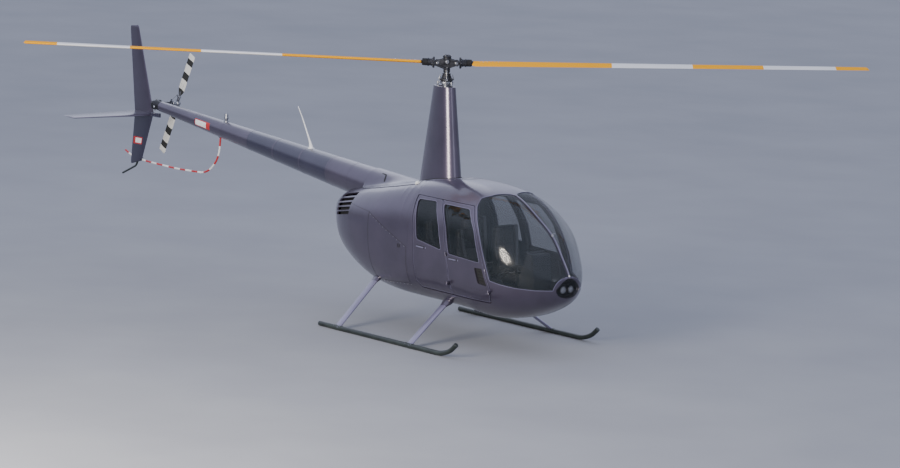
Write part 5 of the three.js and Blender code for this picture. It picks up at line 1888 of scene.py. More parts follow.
def cone_fairing_top(x, y):
    """Height of the fairing over the cowl: the cone's circle blended into the cowl's skin."""
    height, radius = cone_at(x)
    radius += CONE_MARGIN
    past = abs(y) - radius * CONE_FLANK
    flank = math.sqrt(max(radius ** 2 - min(abs(y), radius * CONE_FLANK) ** 2, 0.0))
    circle = height + flank - max(past, 0.0) * FLANK_SLOPE
    skin = roof_height(x, y) + FLANGE_THICK
    sweep = CONE_SWEEP * min(1.0, (flange_reach(x) - abs(y)) / FLANGE_EASE)
    gap = max(sweep - abs(circle - skin), 0.0)
    return max(circle, skin) + (gap * gap / (4 * sweep) if gap > 0 else 0.0)


def cone_fairing_place(x, share):
    """A place on the fairing; share runs from -1 at its starboard edge to 1 at its port edge."""
    y = share * flange_reach(x)
    return from_mast(x, y, cone_fairing_top(x, y))


class AddConeFairing(bpy.types.Operator):
    """The fairing over the front of the tail cone, with its slot, drawn as dark strips of painted shade,
    and its filler cap
    """
    bl_idname = "helicopter.cone_fairing"
    bl_label = "Tail cone fairing"

    def execute(self, context):
        bm = bmesh.new()
        shares = [k / 28 for k in range(-28, 29)]
        rings = []
        for k in range(31):
            x = along_flange(k / 30)
            top = [cone_fairing_place(x, share) for share in shares]
            under = [Vector((p.x, p.y, roof_height(x, p.y) - 0.025)) for p in reversed(top)]
            rings.append(top + under)
        loft(bm, rings)
        finish_piece("cone_fairing_skin", bm, ("paint",), AIRFRAME,
                     replaces=("tail_cone_fairing",))
        bm = bmesh.new()
        for side in (STARBOARD, PORT):
            line = []
            for k in range(40):
                x = along_flange(k / 39)
                line.append((cone_fairing_place(x, side * 0.995), Vector((0, side * 0.6, 0.8))))
            strip(bm, line, 0.005, 0.0014)
            studs_along(bm, [(p + Vector((0, -side * 0.016, 0.007)), n) for p, n in line], 0.09, 0.005,
                        0.002, 1)
        # The slot is drawn as two raised near-black strips; their darkness is painted shade for the
        # opening.
        slot = []
        for k in range(9):
            x, share = (-0.960 + 0.010 * k, -0.30 - 0.030 * k)
            slot.append((cone_fairing_place(x, share), Vector((0, -0.75, 0.66))))
        strip(bm, slot, 0.026, 0.0012)
        slot = [(cone_fairing_place(-0.960 - 0.012 * k, -0.30), Vector((0, -0.5, 0.86))) for k in range(7)]
        strip(bm, slot, 0.020, 0.0012)
        turned(bm, [(0, 0.020), (0.018, 0.020), (0.024, 0.016), (0.024, 0.004), (0.032, 0.003),
                    (0.032, -0.006), (0, -0.006)], cone_fairing_place(-0.045, -0.93), (0, -0.5, 1), 28, 2)
        finish_piece("cone_fairing_fittings", bm, ("rubber", "alloy", "white"), AIRFRAME,
                     sharp=50)
        return {"FINISHED"}


# Tail cone: joints between its bays, and its dark bay
CONE_JOINTS = (-1.245, -1.620, -2.050, -2.620, -3.190, -3.760, -4.330, -4.940, -5.500)
DARK_BAY = (-3.760, -2.050)
# Blank plate on the cone and its pale middle: aft end, front end, half its spread in degrees,
# paint, height above the skin
CONE_PLATES = ((-4.910, -4.580, 26, 0, 0.0008), (-4.895, -4.660, 20, 1, 0.0014))


def cone_place(x, angle, out=0.0):
    height, radius = cone_at(x)
    return from_mast(x, (radius + out) * math.cos(angle), height + (radius + out) * math.sin(angle))


class AddTailCone(bpy.types.Operator):
    """The riveted tail cone with its blank plates, whip antenna and beacon"""
    bl_idname = "helicopter.tail_cone"
    bl_label = "Tail cone"

    def execute(self, context):
        start, end = CONE[0][0], CONE[1][0]
        cuts = sorted({*CONE_JOINTS, *(start + (end - start) * k / 24 for k in range(25))}, reverse=True)
        dark = {k for k, (a, b) in enumerate(zip(cuts, cuts[1:])) if DARK_BAY[0] <= b and a <= DARK_BAY[1]}
        bm = bmesh.new()
        rings = [[cone_place(x, a) for a in ROUND_ANGLES] for x in cuts]
        rings.append([cone_place(end, a, -0.004) for a in ROUND_ANGLES])
        rings.append([cone_place(start, a, -0.004) for a in ROUND_ANGLES])
        rings.append(rings[0])
        loft(bm, rings, False, material=lambda k: 1 if k in dark else 0)
        for x in CONE_JOINTS[1:]:
            loft(bm, [[cone_place(x + dx, a, out) for a in ROUND_ANGLES] for dx, out in
                      ((0.014, -0.001), (0.014, 0.0008), (-0.014, 0.0008), (-0.014, -0.001))], False)
        finish_piece("tail_cone_skin", bm, ("paint", "band"), AIRFRAME, replaces=("tail_cone",),
                     sharp=25)

        bm = bmesh.new()
        for x in CONE_JOINTS[1:]:
            count = int(2 * math.pi * cone_at(x)[1] / 0.030)
            for dx in (0.008, -0.008):
                for k in range(count):
                    angle = 2 * math.pi * k / count
                    out = Vector((0, math.cos(angle), math.sin(angle)))
                    stud(bm, cone_place(x + dx, angle, 0.0008), out, 0.0026, 0.0009, 6)
        for k in range(150):
            x = -1.27 - 0.03 * k
            stud(bm, cone_place(x, math.radians(-60)), (0, 0.5, -0.87), 0.0026, 0.0009, 6)
        finish_piece("tail_cone_rivets", bm, ("paint",), AIRFRAME, sharp=50)

        bm = bmesh.new()
        for low, high, spread, material, out in CONE_PLATES:
            spots = [math.pi + math.radians(spread * share) for share in (-1, -0.5, 0, 0.5, 1)]
            patch = []
            for k in range(9):
                x = high + (low - high) * k / 8
                patch.append([cone_place(x, a, out) for a in spots]
                             + [cone_place(x, a, -0.002) for a in reversed(spots)])
            loft(bm, patch, True, material)
        finish_piece("tail_cone_plate", bm, ("red", "white"), AIRFRAME, sharp=50)

        bm = bmesh.new()
        height, radius = cone_at(-2.590)
        foot = height + radius
        tube(bm, [from_mast(x, 0, z) for x, z in ((-2.582, foot - 0.020), (-2.592, foot + 0.020),
                                                  (-2.612, foot + 0.070), (-2.640, foot + 0.120),
                                                  (-2.700, foot + 0.220), (-2.780, foot + 0.352),
                                                  (-2.873, 2.362), (-2.876, 2.368))],
             [0.030, 0.024, 0.015, 0.010, 0.0085, 0.0065, 0.0045, 0.002], 16, SIDEWAYS)
        turned(bm, [(0, 0.006), (0.036, 0.005), (0.042, 0.0), (0.042, -0.010), (0, -0.010)],
               from_mast(-2.586, 0, foot - 0.002), (0.097, 0, 1), 28)
        finish_piece("whip", bm, ("white",), AIRFRAME, replaces=("whip_antenna",), sharp=50)

        bm = bmesh.new()
        height, radius = cone_at(-4.360)
        foot = height + radius
        lamp = ((0, 2.110), (0.012, 2.108), (0.021, 2.098), (0.024, 2.080), (0.024, 2.050), (0.028, 2.046),
                (0.028, 2.030), (0.022, 2.024))
        turned(bm, [*((radius, z - foot) for radius, z in lamp), (0.022, 0.012), (0.034, 0.006),
                    (0.036, -0.006), (0, -0.006)], from_mast(-4.360, 0, foot), (0, 0, 1), 28)
        finish_piece("beacon_lamp", bm, ("alloy",), AIRFRAME, replaces=("beacon",), sharp=50)
        return {"FINISHED"}


# Tail surfaces: leading and trailing edges
FIN_ROOT = ((-5.942, 0.0, 1.913), (-6.355, 0.0, 1.885))
FIN_TOP = ((-6.317, 0.0, 3.026), (-6.498, 0.0, 3.000))
FIN_BOTTOM = ((-6.181, 0.0, 1.257), (-6.424, 0.0, 1.190))
STABILIZER_ROOT = ((-5.960, 0.0, 1.882), (-6.350, 0.0, 1.903))
STABILIZER_TIP = ((-6.120, -1.140, 1.885), (-6.350, -1.140, 1.898))
# Length of one red or white stripe of the guard
GUARD_STRIPE = 0.131


def wing_half(share, chord, thick):
    """Half the thickness of a symmetrical section at a share of its chord."""
    return 5 * thick * chord * (0.2969 * math.sqrt(share) - 0.126 * share - 0.3516 * share ** 2
                                + 0.2843 * share ** 3 - 0.1036 * share ** 4)


def wing_ring(leading, trailing, thick, up, count=18):
    """A symmetrical section between its leading and trailing edges."""
    leading, trailing, up = Vector(leading), Vector(trailing), Vector(up).normalized()
    chord = (trailing - leading).length
    top, bottom = [], []
    for k in range(count + 1):
        s = (1 - math.cos(math.pi * k / count)) / 2
        half = max(wing_half(s, chord, thick), 0.0006 if k else 0.0)
        middle = leading.lerp(trailing, s)
        top.append(middle + up * half)
        bottom.append(middle - up * half)
    return top + bottom[:0:-1]


def wing(bm, root, tip, thick, up, material=0, steps=6, tip_round=0.05):
    """A tapered surface whose tip is rounded off."""
    root_a, root_b, tip_a, tip_b = (from_mast(*p) for p in (*root, *tip))
    span = ((tip_a + tip_b) / 2 - (root_a + root_b) / 2).length
    shares = [k / steps * (1 - tip_round / span) for k in range(steps + 1)]
    shares += [1 - tip_round / span * (1 - math.sin(QUARTER_TURN * k / 6)) for k in range(1, 7)]
    rings = []
    for f in shares:
        a, b = root_a.lerp(tip_a, f), root_b.lerp(tip_b, f)
        past = max(0.0, (f - (1 - tip_round / span)) * span / tip_round)
        narrow = math.sqrt(max(0.0, 1 - min(past, 0.995) ** 2))
        middle = a.lerp(b, 0.5)
        shrink = 1 - 0.22 * (1 - narrow)
        rings.append(wing_ring(middle + (a - middle) * shrink, middle + (b - middle) * shrink,
                               thick * max(narrow, 0.1), up))
    loft(bm, rings, material=material)


class AddTailSurfaces(bpy.types.Operator):
    """The vertical fin, the stabilizer, the guard and the tail skid"""
    bl_idname = "helicopter.tail_surfaces"
    bl_label = "Tail surfaces"

    def execute(self, context):
        bm = bmesh.new()
        wing(bm, FIN_ROOT, FIN_TOP, 0.11, (0, 1, 0))
        wing(bm, FIN_ROOT, FIN_BOTTOM, 0.11, (0, 1, 0), 1)
        finish_piece("fin", bm, ("paint", "band"), AIRFRAME, replaces=("vertical_fin",))
        bm = bmesh.new()
        block(bm, from_mast(-5.985, -0.016, 1.870), from_mast(-5.800, 0.016, 1.925))
        for x in (-5.965, -5.93, -5.895, -5.86):
            for z in (1.882, 1.913):
                for side in (STARBOARD, PORT):
                    stud(bm, from_mast(x, side * 0.016, z), (0, side, 0), 0.006, 0.003, 6, 1)
        finish_piece("fin_mount", bm, ("band", "alloy"), AIRFRAME, bevel=0.003)
        bm = bmesh.new()
        wing(bm, STABILIZER_ROOT, STABILIZER_TIP, 0.10, (0, 0, 1))
        finish_piece("stabilizer", bm, ("paint",), AIRFRAME, replaces=("horizontal_stabilizer",))
        bm = bmesh.new()
        side_plate(bm, [(-6.150, 1.570), (-6.345, 1.565), (-6.350, 1.470), (-6.165, 1.475)], -0.0175,
                   -0.0195)
        side_plate(bm, [(-6.165, 1.555), (-6.300, 1.552), (-6.305, 1.487), (-6.178, 1.490)], -0.0190,
                   -0.0200, 1)
        finish_piece("fin_plate", bm, ("red", "white"), AIRFRAME)
        self.add_guard()
        return {"FINISHED"}

    def add_guard(self):
        corners = ((-4.470, 0, 1.800), (-4.500, 0, 1.500), (-4.740, 0, 1.280), (-5.400, 0, 1.255),
                   (-6.134, 0.020, 1.263), (-6.428, 0.026, 1.290), (-6.578, 0.026, 1.349))
        rough = mast_path(corners, 0.160, 10)
        path = [rough[0]]
        for start, end in zip(rough, rough[1:]):
            parts = max(1, math.ceil((end - start).length / 0.02))
            path += [start.lerp(end, k / parts) for k in range(1, parts + 1)]
        lengths = [0.0]
        for a, b in zip(path, path[1:]):
            lengths.append(lengths[-1] + (b - a).length)
        marks = [int(length / GUARD_STRIPE) for length in lengths]
        bm = bmesh.new()
        tube(bm, path, 0.012, 16, SIDEWAYS, material=lambda k: marks[k] % 2)
        ball(bm, path[-1], 0.012, marks[-1] % 2)
        finish_piece("guard", bm, ("red", "white"), AIRFRAME, replaces=("tail_rotor_guard",),
                     sharp=60)

        bm = bmesh.new()
        top = from_mast(-4.470, 0, cone_at(-4.470)[0] - cone_at(-4.470)[1])
        turned(bm, [(0, 0.012), (0.017, 0.012), (0.019, 0.010), (0.030, 0.0), (0.034, -0.006), (0, -0.006)],
               top, (0.03, 0, -1), 24)
        for z in (1.262, 1.292):
            rod(bm, from_mast(-6.20, -0.020, z), from_mast(-6.20, 0.036, z), 0.007, 0.001)
        finish_piece("guard_mount", bm, ("band",), AIRFRAME)

        bm = bmesh.new()
        skid = mast_path(((-6.270, 0, 1.240), (-6.302, 0, 1.180), (-6.592, 0, 1.049)), 0.05)
        tube(bm, skid, 0.013, 16, SIDEWAYS)
        ball(bm, skid[-1], 0.0135)
        finish_piece("skid_spur", bm, ("skid",), AIRFRAME, replaces=("tail_skid",), sharp=60)


# Main rotor. Its hub and blades are laid out with X out along a blade and Z up the mast.
HUB_Z = 3.230
BLADE_AZIMUTH = math.radians(52)
CONING = math.radians(1)
# Blade stations: radius, chord, thickness share, twist in degrees
BLADE_STATIONS = ((0.345, 0.254, 0.140, 6.0), (2.600, 0.254, 0.120, 3.0), (5.015, 0.254, 0.120, 0.0))
BLADE_ROOT = (0.285, 0.120, 0.320)
BLADE_TIP = 5.000
LINK_REACH = 0.105


def hub_frame(turn=0.0, coning=0.0):
    """Stands at the hub with X out along a blade."""
    return (Matrix.Translation(from_mast(0, 0, HUB_Z)) @ Matrix.Rotation(BLADE_AZIMUTH + turn, 4, "Z")
            @ Matrix.Rotation(-coning, 4, "Y"))


def blade_ring(radius, chord, thick, twist, count=14):
    """One section of a main blade, in the blade's own frame."""
    tilt = math.radians(twist)
    chordwise = Vector((0, math.cos(tilt), math.sin(tilt)))
    up = Vector((0, -math.sin(tilt), math.cos(tilt)))
    middle = Vector((radius, 0, 0))
    return wing_ring(middle + chordwise * chord * 0.3, middle - chordwise * chord * 0.7, thick, up, count)


def blade_station(radius):
    """Chord, thickness and twist of a main blade at a radius."""
    for (r0, c0, k0, w0), (r1, c1, k1, w1) in zip(BLADE_STATIONS, BLADE_STATIONS[1:]):
        if radius <= r1:
            f = (radius - r0) / (r1 - r0)
            return c0 + (c1 - c0) * f, k0 + (k1 - k0) * f, w0 + (w1 - w0) * f
    return BLADE_STATIONS[-1][1:]


class AddMainBlades(bpy.types.Operator):
    """The two main blades with their root fittings, pitch arms and tip caps"""
    bl_idname = "helicopter.main_blades"
    bl_label = "Main blades"

    def execute(self, context):
        for number, turn in ((1, 0.0), (2, math.pi)):
            matrix = hub_frame(turn, CONING)
            self.add_blade(number, matrix)
            self.add_root(number, matrix)
        return {"FINISHED"}

    def add_blade(self, number, matrix):
        root_radius, root_chord, root_thick = BLADE_ROOT
        radius, chord, thick, twist = BLADE_STATIONS[0]
        rings = []
        for k in range(8):
            ease = math.sin(QUARTER_TURN * k / 8)
            width = root_chord + (chord - root_chord) * ease
            height = root_chord * root_thick + (chord * thick - root_chord * root_thick) * ease
            station = root_radius + (radius - root_radius) * k / 8
            rings.append(blade_ring(station, width, height / width, twist))
        for k in range(29):
            station = radius + (BLADE_TIP - radius) * k / 28
            rings.append(blade_ring(station, *blade_station(station)))
        chord, thick, twist = blade_station(BLADE_TIP)
        for out, shrink, thin in ((0.012, 0.995, 0.9), (0.022, 0.975, 0.7), (0.030, 0.93, 0.3)):
            rings.append(blade_ring(BLADE_TIP + out, chord * shrink, thick * thin, twist))
        bm = bmesh.new()
        loft(bm, rings)
        shift(bm.verts, matrix)
        finish_piece(f"blade_skin_{number}", bm, ("blade",), MAIN_ROTOR,
                     replaces=(f"main_blade_{number}",), sharp=40)

        bm = bmesh.new()
        for y in (0.040, -0.020):
            for k in range(6):
                x = 0.390 + 0.045 * k
                chord, thick, twist = blade_station(x)
                half = wing_half(0.3 - y / chord, chord, thick)
                for face in (1, -1):
                    place = Vector((x, y, y * math.tan(math.radians(twist)) + face * half))
                    stud(bm, place, (0, 0, face), 0.006, 0.003, 8)
        for y in (0.046, -0.024):
            stud(bm, Vector((BLADE_TIP + 0.028, y, 0)), (1, 0, 0), 0.006, 0.003, 8)
        shift(bm.verts, matrix)
        finish_piece(f"blade_bolts_{number}", bm, ("alloy",), MAIN_ROTOR, sharp=50)

    def add_root(self, number, matrix):
        bm = bmesh.new()
        turned(bm, [(0, 0.1475), (0.060, 0.1475), (0.068, 0.151), (0.068, 0.164), (0.063, 0.169),
                    (0.050, 0.172), (0.046, 0.180), (0.043, 0.190), (0.042, 0.212), (0.048, 0.216),
                    (0.048, 0.230), (0.040, 0.234), (0.036, 0.298), (0, 0.298)], (0, 0, 0), (1, 0, 0), 40)
        for k in range(10):
            angle = 2 * math.pi * k / 10
            stud(bm, Vector((0.169, 0.058 * math.cos(angle), 0.058 * math.sin(angle))), (1, 0, 0),
                 0.005, 0.005, 6, 1)
        arm = smooth_path([(0.190, 0.030, 0), (0.190, 0.088, -0.004), (0, LINK_REACH, -0.066)], 0.030)
        tube(bm, arm, [0.014 - 0.003 * k / (len(arm) - 1) for k in range(len(arm))], 14)
        rod(bm, (0, LINK_REACH, -0.078), (0, LINK_REACH, -0.052), 0.015, 0.003)
        rod(bm, (0, LINK_REACH, -0.053), (0, LINK_REACH, -0.044), 0.008, 0.001, material=1)
        shift(bm.verts, matrix)
        finish_piece(f"spindle_{number}", bm, ("forging", "steel"), MAIN_ROTOR, bevel=0.0012)

        bm = bmesh.new()
        boot = [(0, 0.232)]
        for k in range(4):
            x = 0.236 + 0.014 * k
            boot += [(0.041, x), (0.045, x + 0.005), (0.041, x + 0.011)]
        boot += [(0.038, 0.296), (0, 0.296)]
        turned(bm, boot, (0, 0, 0), (1, 0, 0), 36)
        shift(bm.verts, matrix)
        finish_piece(f"blade_boot_{number}", bm, ("rubber",), MAIN_ROTOR, sharp=60)


class AddRotorHead(bpy.types.Operator):
    """The mast, the hub with its bolts and the two swashplates"""
    bl_idname = "helicopter.rotor_head"
    bl_label = "Rotor head"

    def execute(self, context):
        matrix = hub_frame()
        self.add_hub(matrix)
        self.add_turning_plate(matrix)
        self.add_fixed_plate()
        return {"FINISHED"}

    def add_hub(self, matrix):
        bm = bmesh.new()
        rod(bm, (0, 0, -1.8095), (0, 0, -0.110), 0.028, steps=40)
        turned(bm, [(0, -0.118), (0.034, -0.118), (0.040, -0.112), (0.040, -0.068), (0.036, -0.0622),
                    (0, -0.0622)], (0, 0, 0), (0, 0, 1), 40, 1)
        shift(bm.verts, matrix)
        finish_piece("mast_tube", bm, ("steel", "forging"), MAIN_ROTOR,
                     replaces=("rotor_shaft",), sharp=40)

        bm = bmesh.new()
        half = [(0.000, 0.052), (0.040, 0.052), (0.070, 0.040), (0.100, 0.033), (0.130, 0.034),
                (0.141, 0.022), (0.145, 0.0), (0.141, -0.022), (0.130, -0.034), (0.100, -0.033),
                (0.070, -0.044), (0.040, -0.056), (0.000, -0.058)]
        outline = half + [(-x, z) for x, z in reversed(half[1:-1])]
        for y0, y1 in ((-0.062, -0.038), (0.038, 0.062)):
            loft(bm, [[Vector((x, y, z)) for x, z in outline] for y in (y0, y1)])
        core = [(x * 0.84, z * 0.8) for x, z in outline]
        loft(bm, [[Vector((x, y, z)) for x, z in core] for y in (-0.040, 0.040)])
        turned(bm, [(0, -0.0612), (0.046, -0.0612), (0.050, -0.056), (0.050, 0.052), (0.047, 0.058),
                    (0.047, 0.064), (0.052, 0.067), (0.052, 0.077), (0.047, 0.084), (0.038, 0.091),
                    (0.028, 0.096), (0.026, 0.098), (0, 0.098)], (0, 0, 0), (0, 0, 1), 40)
        rod(bm, (0, -0.084, 0.020), (0, 0.084, 0.020), 0.025, 0.003, 28)
        shift(bm.verts, matrix)
        finish_piece("hub_forging", bm, ("forging",), MAIN_ROTOR, bevel=0.003,
                     replaces=("rotor_hub",))

        bm = bmesh.new()
        for y in (-1, 1):
            turned(bm, [(0, 0), (0.023, 0), (0.023, 0.003), (0, 0.003)], (0, y * 0.0835, 0.020),
                   (0, y, 0), 28)
            rod(bm, (0, y * 0.085, 0.020), (0, y * 0.092, 0.020), 0.018, 0.002, 6)
            rod(bm, (0, y * 0.091, 0.020), (0, y * 0.097, 0.020), 0.009, 0.001, 16)
        for x in (-0.112, 0.112):
            rod(bm, (x, -0.068, 0), (x, 0.068, 0), 0.019, 0.002, 28)
            for y in (-1, 1):
                rod(bm, (x, y * 0.066, 0), (x, y * 0.074, 0), 0.015, 0.002, 6)
                rod(bm, (x, y * 0.073, 0), (x, y * 0.080, 0), 0.007, 0.001, 14)
        for k in range(6):
            angle = 2 * math.pi * k / 6
            stud(bm, Vector((0.040 * math.cos(angle), 0.040 * math.sin(angle), 0.089)), (0, 0, 1),
                 0.004, 0.004, 6)
        for y in (-LINK_REACH, LINK_REACH):
            rod(bm, (0, y, -0.200), (0, y, -0.0784), 0.0070, 0.001, 16)
            for low, high in ((-0.206, -0.184), (-0.105, -0.080)):
                rod(bm, (0, y, low), (0, y, high), 0.0105, 0.001, 6)
        shift(bm.verts, matrix)
        finish_piece("hub_bolts", bm, ("steel",), MAIN_ROTOR, bevel=0.0008)

    def add_turning_plate(self, matrix):
        bm = bmesh.new()
        turned(bm, [(0.0285, -0.210), (0.078, -0.210), (0.084, -0.206), (0.084, -0.190), (0.079, -0.185),
                    (0.064, -0.184), (0.062, -0.178), (0.057, -0.170), (0.057, -0.160), (0.053, -0.157),
                    (0.053, -0.148), (0.048, -0.145), (0.048, -0.136), (0.051, -0.134), (0.051, -0.128),
                    (0.046, -0.125), (0.0285, -0.125), (0.0285, -0.210)], (0, 0, 0), (0, 0, 1), 48)
        for y in (-1, 1):
            block(bm, (-0.015, y * 0.076, -0.207), (0.015, y * 0.117, -0.188), 1)
        for x in (-1, 1):
            block(bm, (x * 0.078, -0.012, -0.206), (x * 0.096, 0.012, -0.190), 1)
            rod(bm, (x * 0.088, 0, -0.196), (x * 0.070, 0, -0.140), 0.006, 0.001, 12, 1)
        for k in range(12):
            angle = math.pi * (k + 0.5) / 6
            stud(bm, Vector((0.073 * math.cos(angle), 0.073 * math.sin(angle), -0.185)), (0, 0, 1),
                 0.004, 0.003, 6, 2)
        shift(bm.verts, matrix)
        finish_piece("swashplate_upper", bm, ("forging", "alloy", "steel"), MAIN_ROTOR,
                     bevel=0.0012, replaces=("swashplate_turning",))

    def add_fixed_plate(self):
        bm = bmesh.new()
        turned(bm, [(0.036, 1.421), (0.046, 1.421), (0.046, 2.962), (0.054, 2.966), (0.056, 2.982),
                    (0.078, 2.986), (0.084, 2.990), (0.084, 3.007), (0.079, 3.012), (0.036, 3.012),
                    (0.036, 1.421)], from_mast(0, 0, 0), (0, 0, 1), 48)
        for degrees in (0, 110, 230):
            placed = set(bm.verts)
            block(bm, (0.074, -0.012, 2.992), (0.104, 0.012, 3.007))
            rod(bm, (0.102, 0, 2.978), (0.102, 0, 3.012), 0.012, 0.002, 20)
            rod(bm, (0.102, 0, 2.956), (0.102, 0, 2.980), 0.009, 0.001, 6, 1)
            rod(bm, (0.058, 0.010, 2.915), (0.102, 0, 2.962), 0.0065, 0.001, 14, 1)
            shift_since(bm, placed, round_mast(math.radians(degrees)))
        finish_piece("swashplate_lower", bm, ("alloy", "steel"), AIRFRAME, bevel=0.001,
                     replaces=("swashplate_stand",))


# Tail blade stations: radius, half chord, thickness share
TAIL_STATIONS = ((0.132, 0.024, 0.50), (0.150, 0.033, 0.34), (0.180, 0.050, 0.20), (0.215, 0.062, 0.13),
                 (0.400, 0.062, 0.12), (0.600, 0.062, 0.11), (0.716, 0.062, 0.10), (0.728, 0.060, 0.08),
                 (0.735, 0.052, 0.05))
TAIL_AZIMUTH = math.radians(65)


class AddTailRotor(bpy.types.Operator):
    """The tail gearbox and the two-bladed tail rotor"""
    bl_idname = "helicopter.tail_rotor"
    bl_label = "Tail rotor"

    def execute(self, context):
        x, y, z = TAIL_ROTOR_PLACE
        flow = Vector((CONE[1][0] - CONE[0][0], 0, CONE[1][1] - CONE[0][1])).normalized()
        end = from_mast(CONE[1][0], 0, CONE[1][1])
        bm = bmesh.new()
        turned(bm, [(0, 0.0004), (0.065, 0.0004), (0.066, 0.003), (0.066, 0.012), (0.062, 0.015),
                    (0.050, 0.018), (0.054, 0.030), (0.060, 0.060), (0.060, 0.130), (0.050, 0.165),
                    (0.030, 0.180), (0, 0.184)], end, flow, 40)
        turned(bm, [(0, -0.058), (0.030, -0.058), (0.036, -0.050), (0.052, -0.045), (0.058, -0.036),
                    (0.060, 0.052), (0.064, 0.056), (0.064, 0.066), (0.058, 0.070), (0.042, 0.078),
                    (0.036, 0.100), (0.028, 0.205), (0.030, 0.212), (0.030, 0.2245), (0, 0.2245)],
               from_mast(x, 0, z), (0, 1, 0), 40)
        for k in range(10):
            angle = 2 * math.pi * k / 10
            out = Vector((0, math.cos(angle), math.sin(angle)))
            side, up = across(flow)
            place = end + flow * 0.012 + (side * math.cos(angle) + up * math.sin(angle)) * 0.058
            stud(bm, place, flow, 0.005, 0.005, 6, 1)
            place = from_mast(x + 0.051 * math.cos(angle), -0.044, z + 0.051 * math.sin(angle))
            stud(bm, place, (0, -1, 0), 0.004, 0.005, 6, 1)
        rod(bm, from_mast(x + 0.01, 0, z + 0.052), from_mast(x + 0.01, 0, z + 0.082), 0.012, 0.002, 6, 1)
        rod(bm, from_mast(x - 0.02, 0, z - 0.080), from_mast(x - 0.02, 0, z - 0.050), 0.009, 0.002, 6, 1)
        # The lens on the case's side takes the same pale tint, a painted highlight.
        rod(bm, from_mast(x + 0.040, -0.052, z - 0.012), from_mast(x + 0.040, -0.060, z - 0.012), 0.014,
            0.002, 20, 2)
        finish_piece("tail_gearbox_case", bm, ("forging", "steel", "lens_painted_highlight"), AIRFRAME,
                     replaces=("tail_gearbox",), sharp=40)

        centre = from_mast(x, y, z)
        out = Vector((math.cos(TAIL_AZIMUTH), 0, math.sin(TAIL_AZIMUTH)))
        over = Vector((-math.sin(TAIL_AZIMUTH), 0, math.cos(TAIL_AZIMUTH)))
        matrix = Matrix((out, over, Vector((0, -1, 0)))).transposed().to_4x4()
        matrix = Matrix.Translation(centre) @ matrix
        bm = bmesh.new()
        turned(bm, [(0, 0.112), (0.018, 0.112), (0.018, 0.062), (0.026, 0.060), (0.028, 0.040),
                    (0.034, 0.024), (0.040, 0.020), (0.046, 0.012), (0.048, 0.0), (0.046, -0.012),
                    (0.040, -0.022), (0.022, -0.026), (0.020, -0.045), (0, -0.045)], (0, 0, 0),
               (0, 0, 1), 36)
        for sign in (-1, 1):
            block(bm, (0, -0.030, -0.016), (sign * 0.047, 0.030, 0.016))
        rod(bm, (0, -0.046, 0), (0, 0.046, 0), 0.013, 0.002, 20, 1)
        rod(bm, (0, -0.052, 0), (0, 0.052, 0), 0.009, 0.001, 6, 1)
        turned(bm, [(0.019, 0.075), (0.044, 0.075), (0.048, 0.079), (0.048, 0.089), (0.044, 0.093),
                    (0.019, 0.093), (0.019, 0.075)], (0, 0, 0), (0, 0, 1), 32)
        for sign in (-1, 1):
            rod(bm, (sign * 0.046, sign * 0.030, 0.084), (sign * 0.105, sign * 0.040, 0.014), 0.005,
                0.001, 12, 1)
            block(bm, (sign * 0.030, sign * 0.020, 0.078), (sign * 0.056, sign * 0.040, 0.090))
        shift(bm.verts, matrix)
        finish_piece("tail_hub", bm, ("alloy", "steel"), TAIL_ROTOR, bevel=0.001,
                     replaces=("tail_rotor_hub",))

        for number, sign in ((1, 1), (2, -1)):
            bm = bmesh.new()
            turned(bm, [(0, 0.0485), (0.014, 0.0485), (0.020, 0.054), (0.020, 0.086), (0.024, 0.090),
                        (0.024, 0.112), (0.018, 0.118), (0.016, 0.150), (0.015, 0.190), (0, 0.194)],
                   (0, 0, 0), (sign, 0, 0), 28, 1)
            block(bm, (sign * 0.092, 0, -0.008), (sign * 0.116, sign * 0.046, 0.012), 1)
            rings = []
            for radius, half, thick in TAIL_STATIONS:
                lead = Vector((sign * radius, sign * half, 0))
                trail = Vector((sign * radius, -sign * half, 0))
                rings.append(wing_ring(lead, trail, thick, (0, 0, 1), 14))
            loft(bm, rings, material=0)
            for k in range(4):
                for y in (-0.018, 0.018):
                    for face in (-1, 1):
                        place = Vector((sign * (0.225 + 0.022 * k), y, face * 0.0072))
                        stud(bm, place, (0, 0, face), 0.004, 0.002, 8, 1)
            shift(bm.verts, matrix)
            finish_piece(f"tail_blade_{number}", bm, ("tail_blade", "alloy"), TAIL_ROTOR,
                         replaces=(f"tail_rotor_blade_{number}",), sharp=40)
        return {"FINISHED"}


# Skids and struts
TRACK = 1.090
TUBE_RADIUS = 0.0289
SKID_CORNERS = ((-0.910, 0.0), (1.390, 0.0), (1.560, 0.055), (1.665, 0.145))
STRUT_ENDS = {"front": ((0.700, 0.430, 0.505), (0.806, 1.112, 0.030)),
              "aft": ((-0.660, 0.390, 0.610), (-0.552, 1.112, 0.030))}
STRUT_CHORD = 0.104
STRUT_THICK = 0.30
# Cuff at a strut's head: share of the strut's length, growth of the section
STRUT_CUFF = ((-0.02, 0.034), (0.045, 0.026), (0.085, 0.014), (0.118, 0.006), (0.130, 0.004),
              (0.132, -0.004))
# Shoes under a skid: x of the aft end, length
SKID_SHOES = ((-0.62, 0.30), (0.62, 0.34), (1.10, 0.22))
TUBE_AXIS = 0.02898


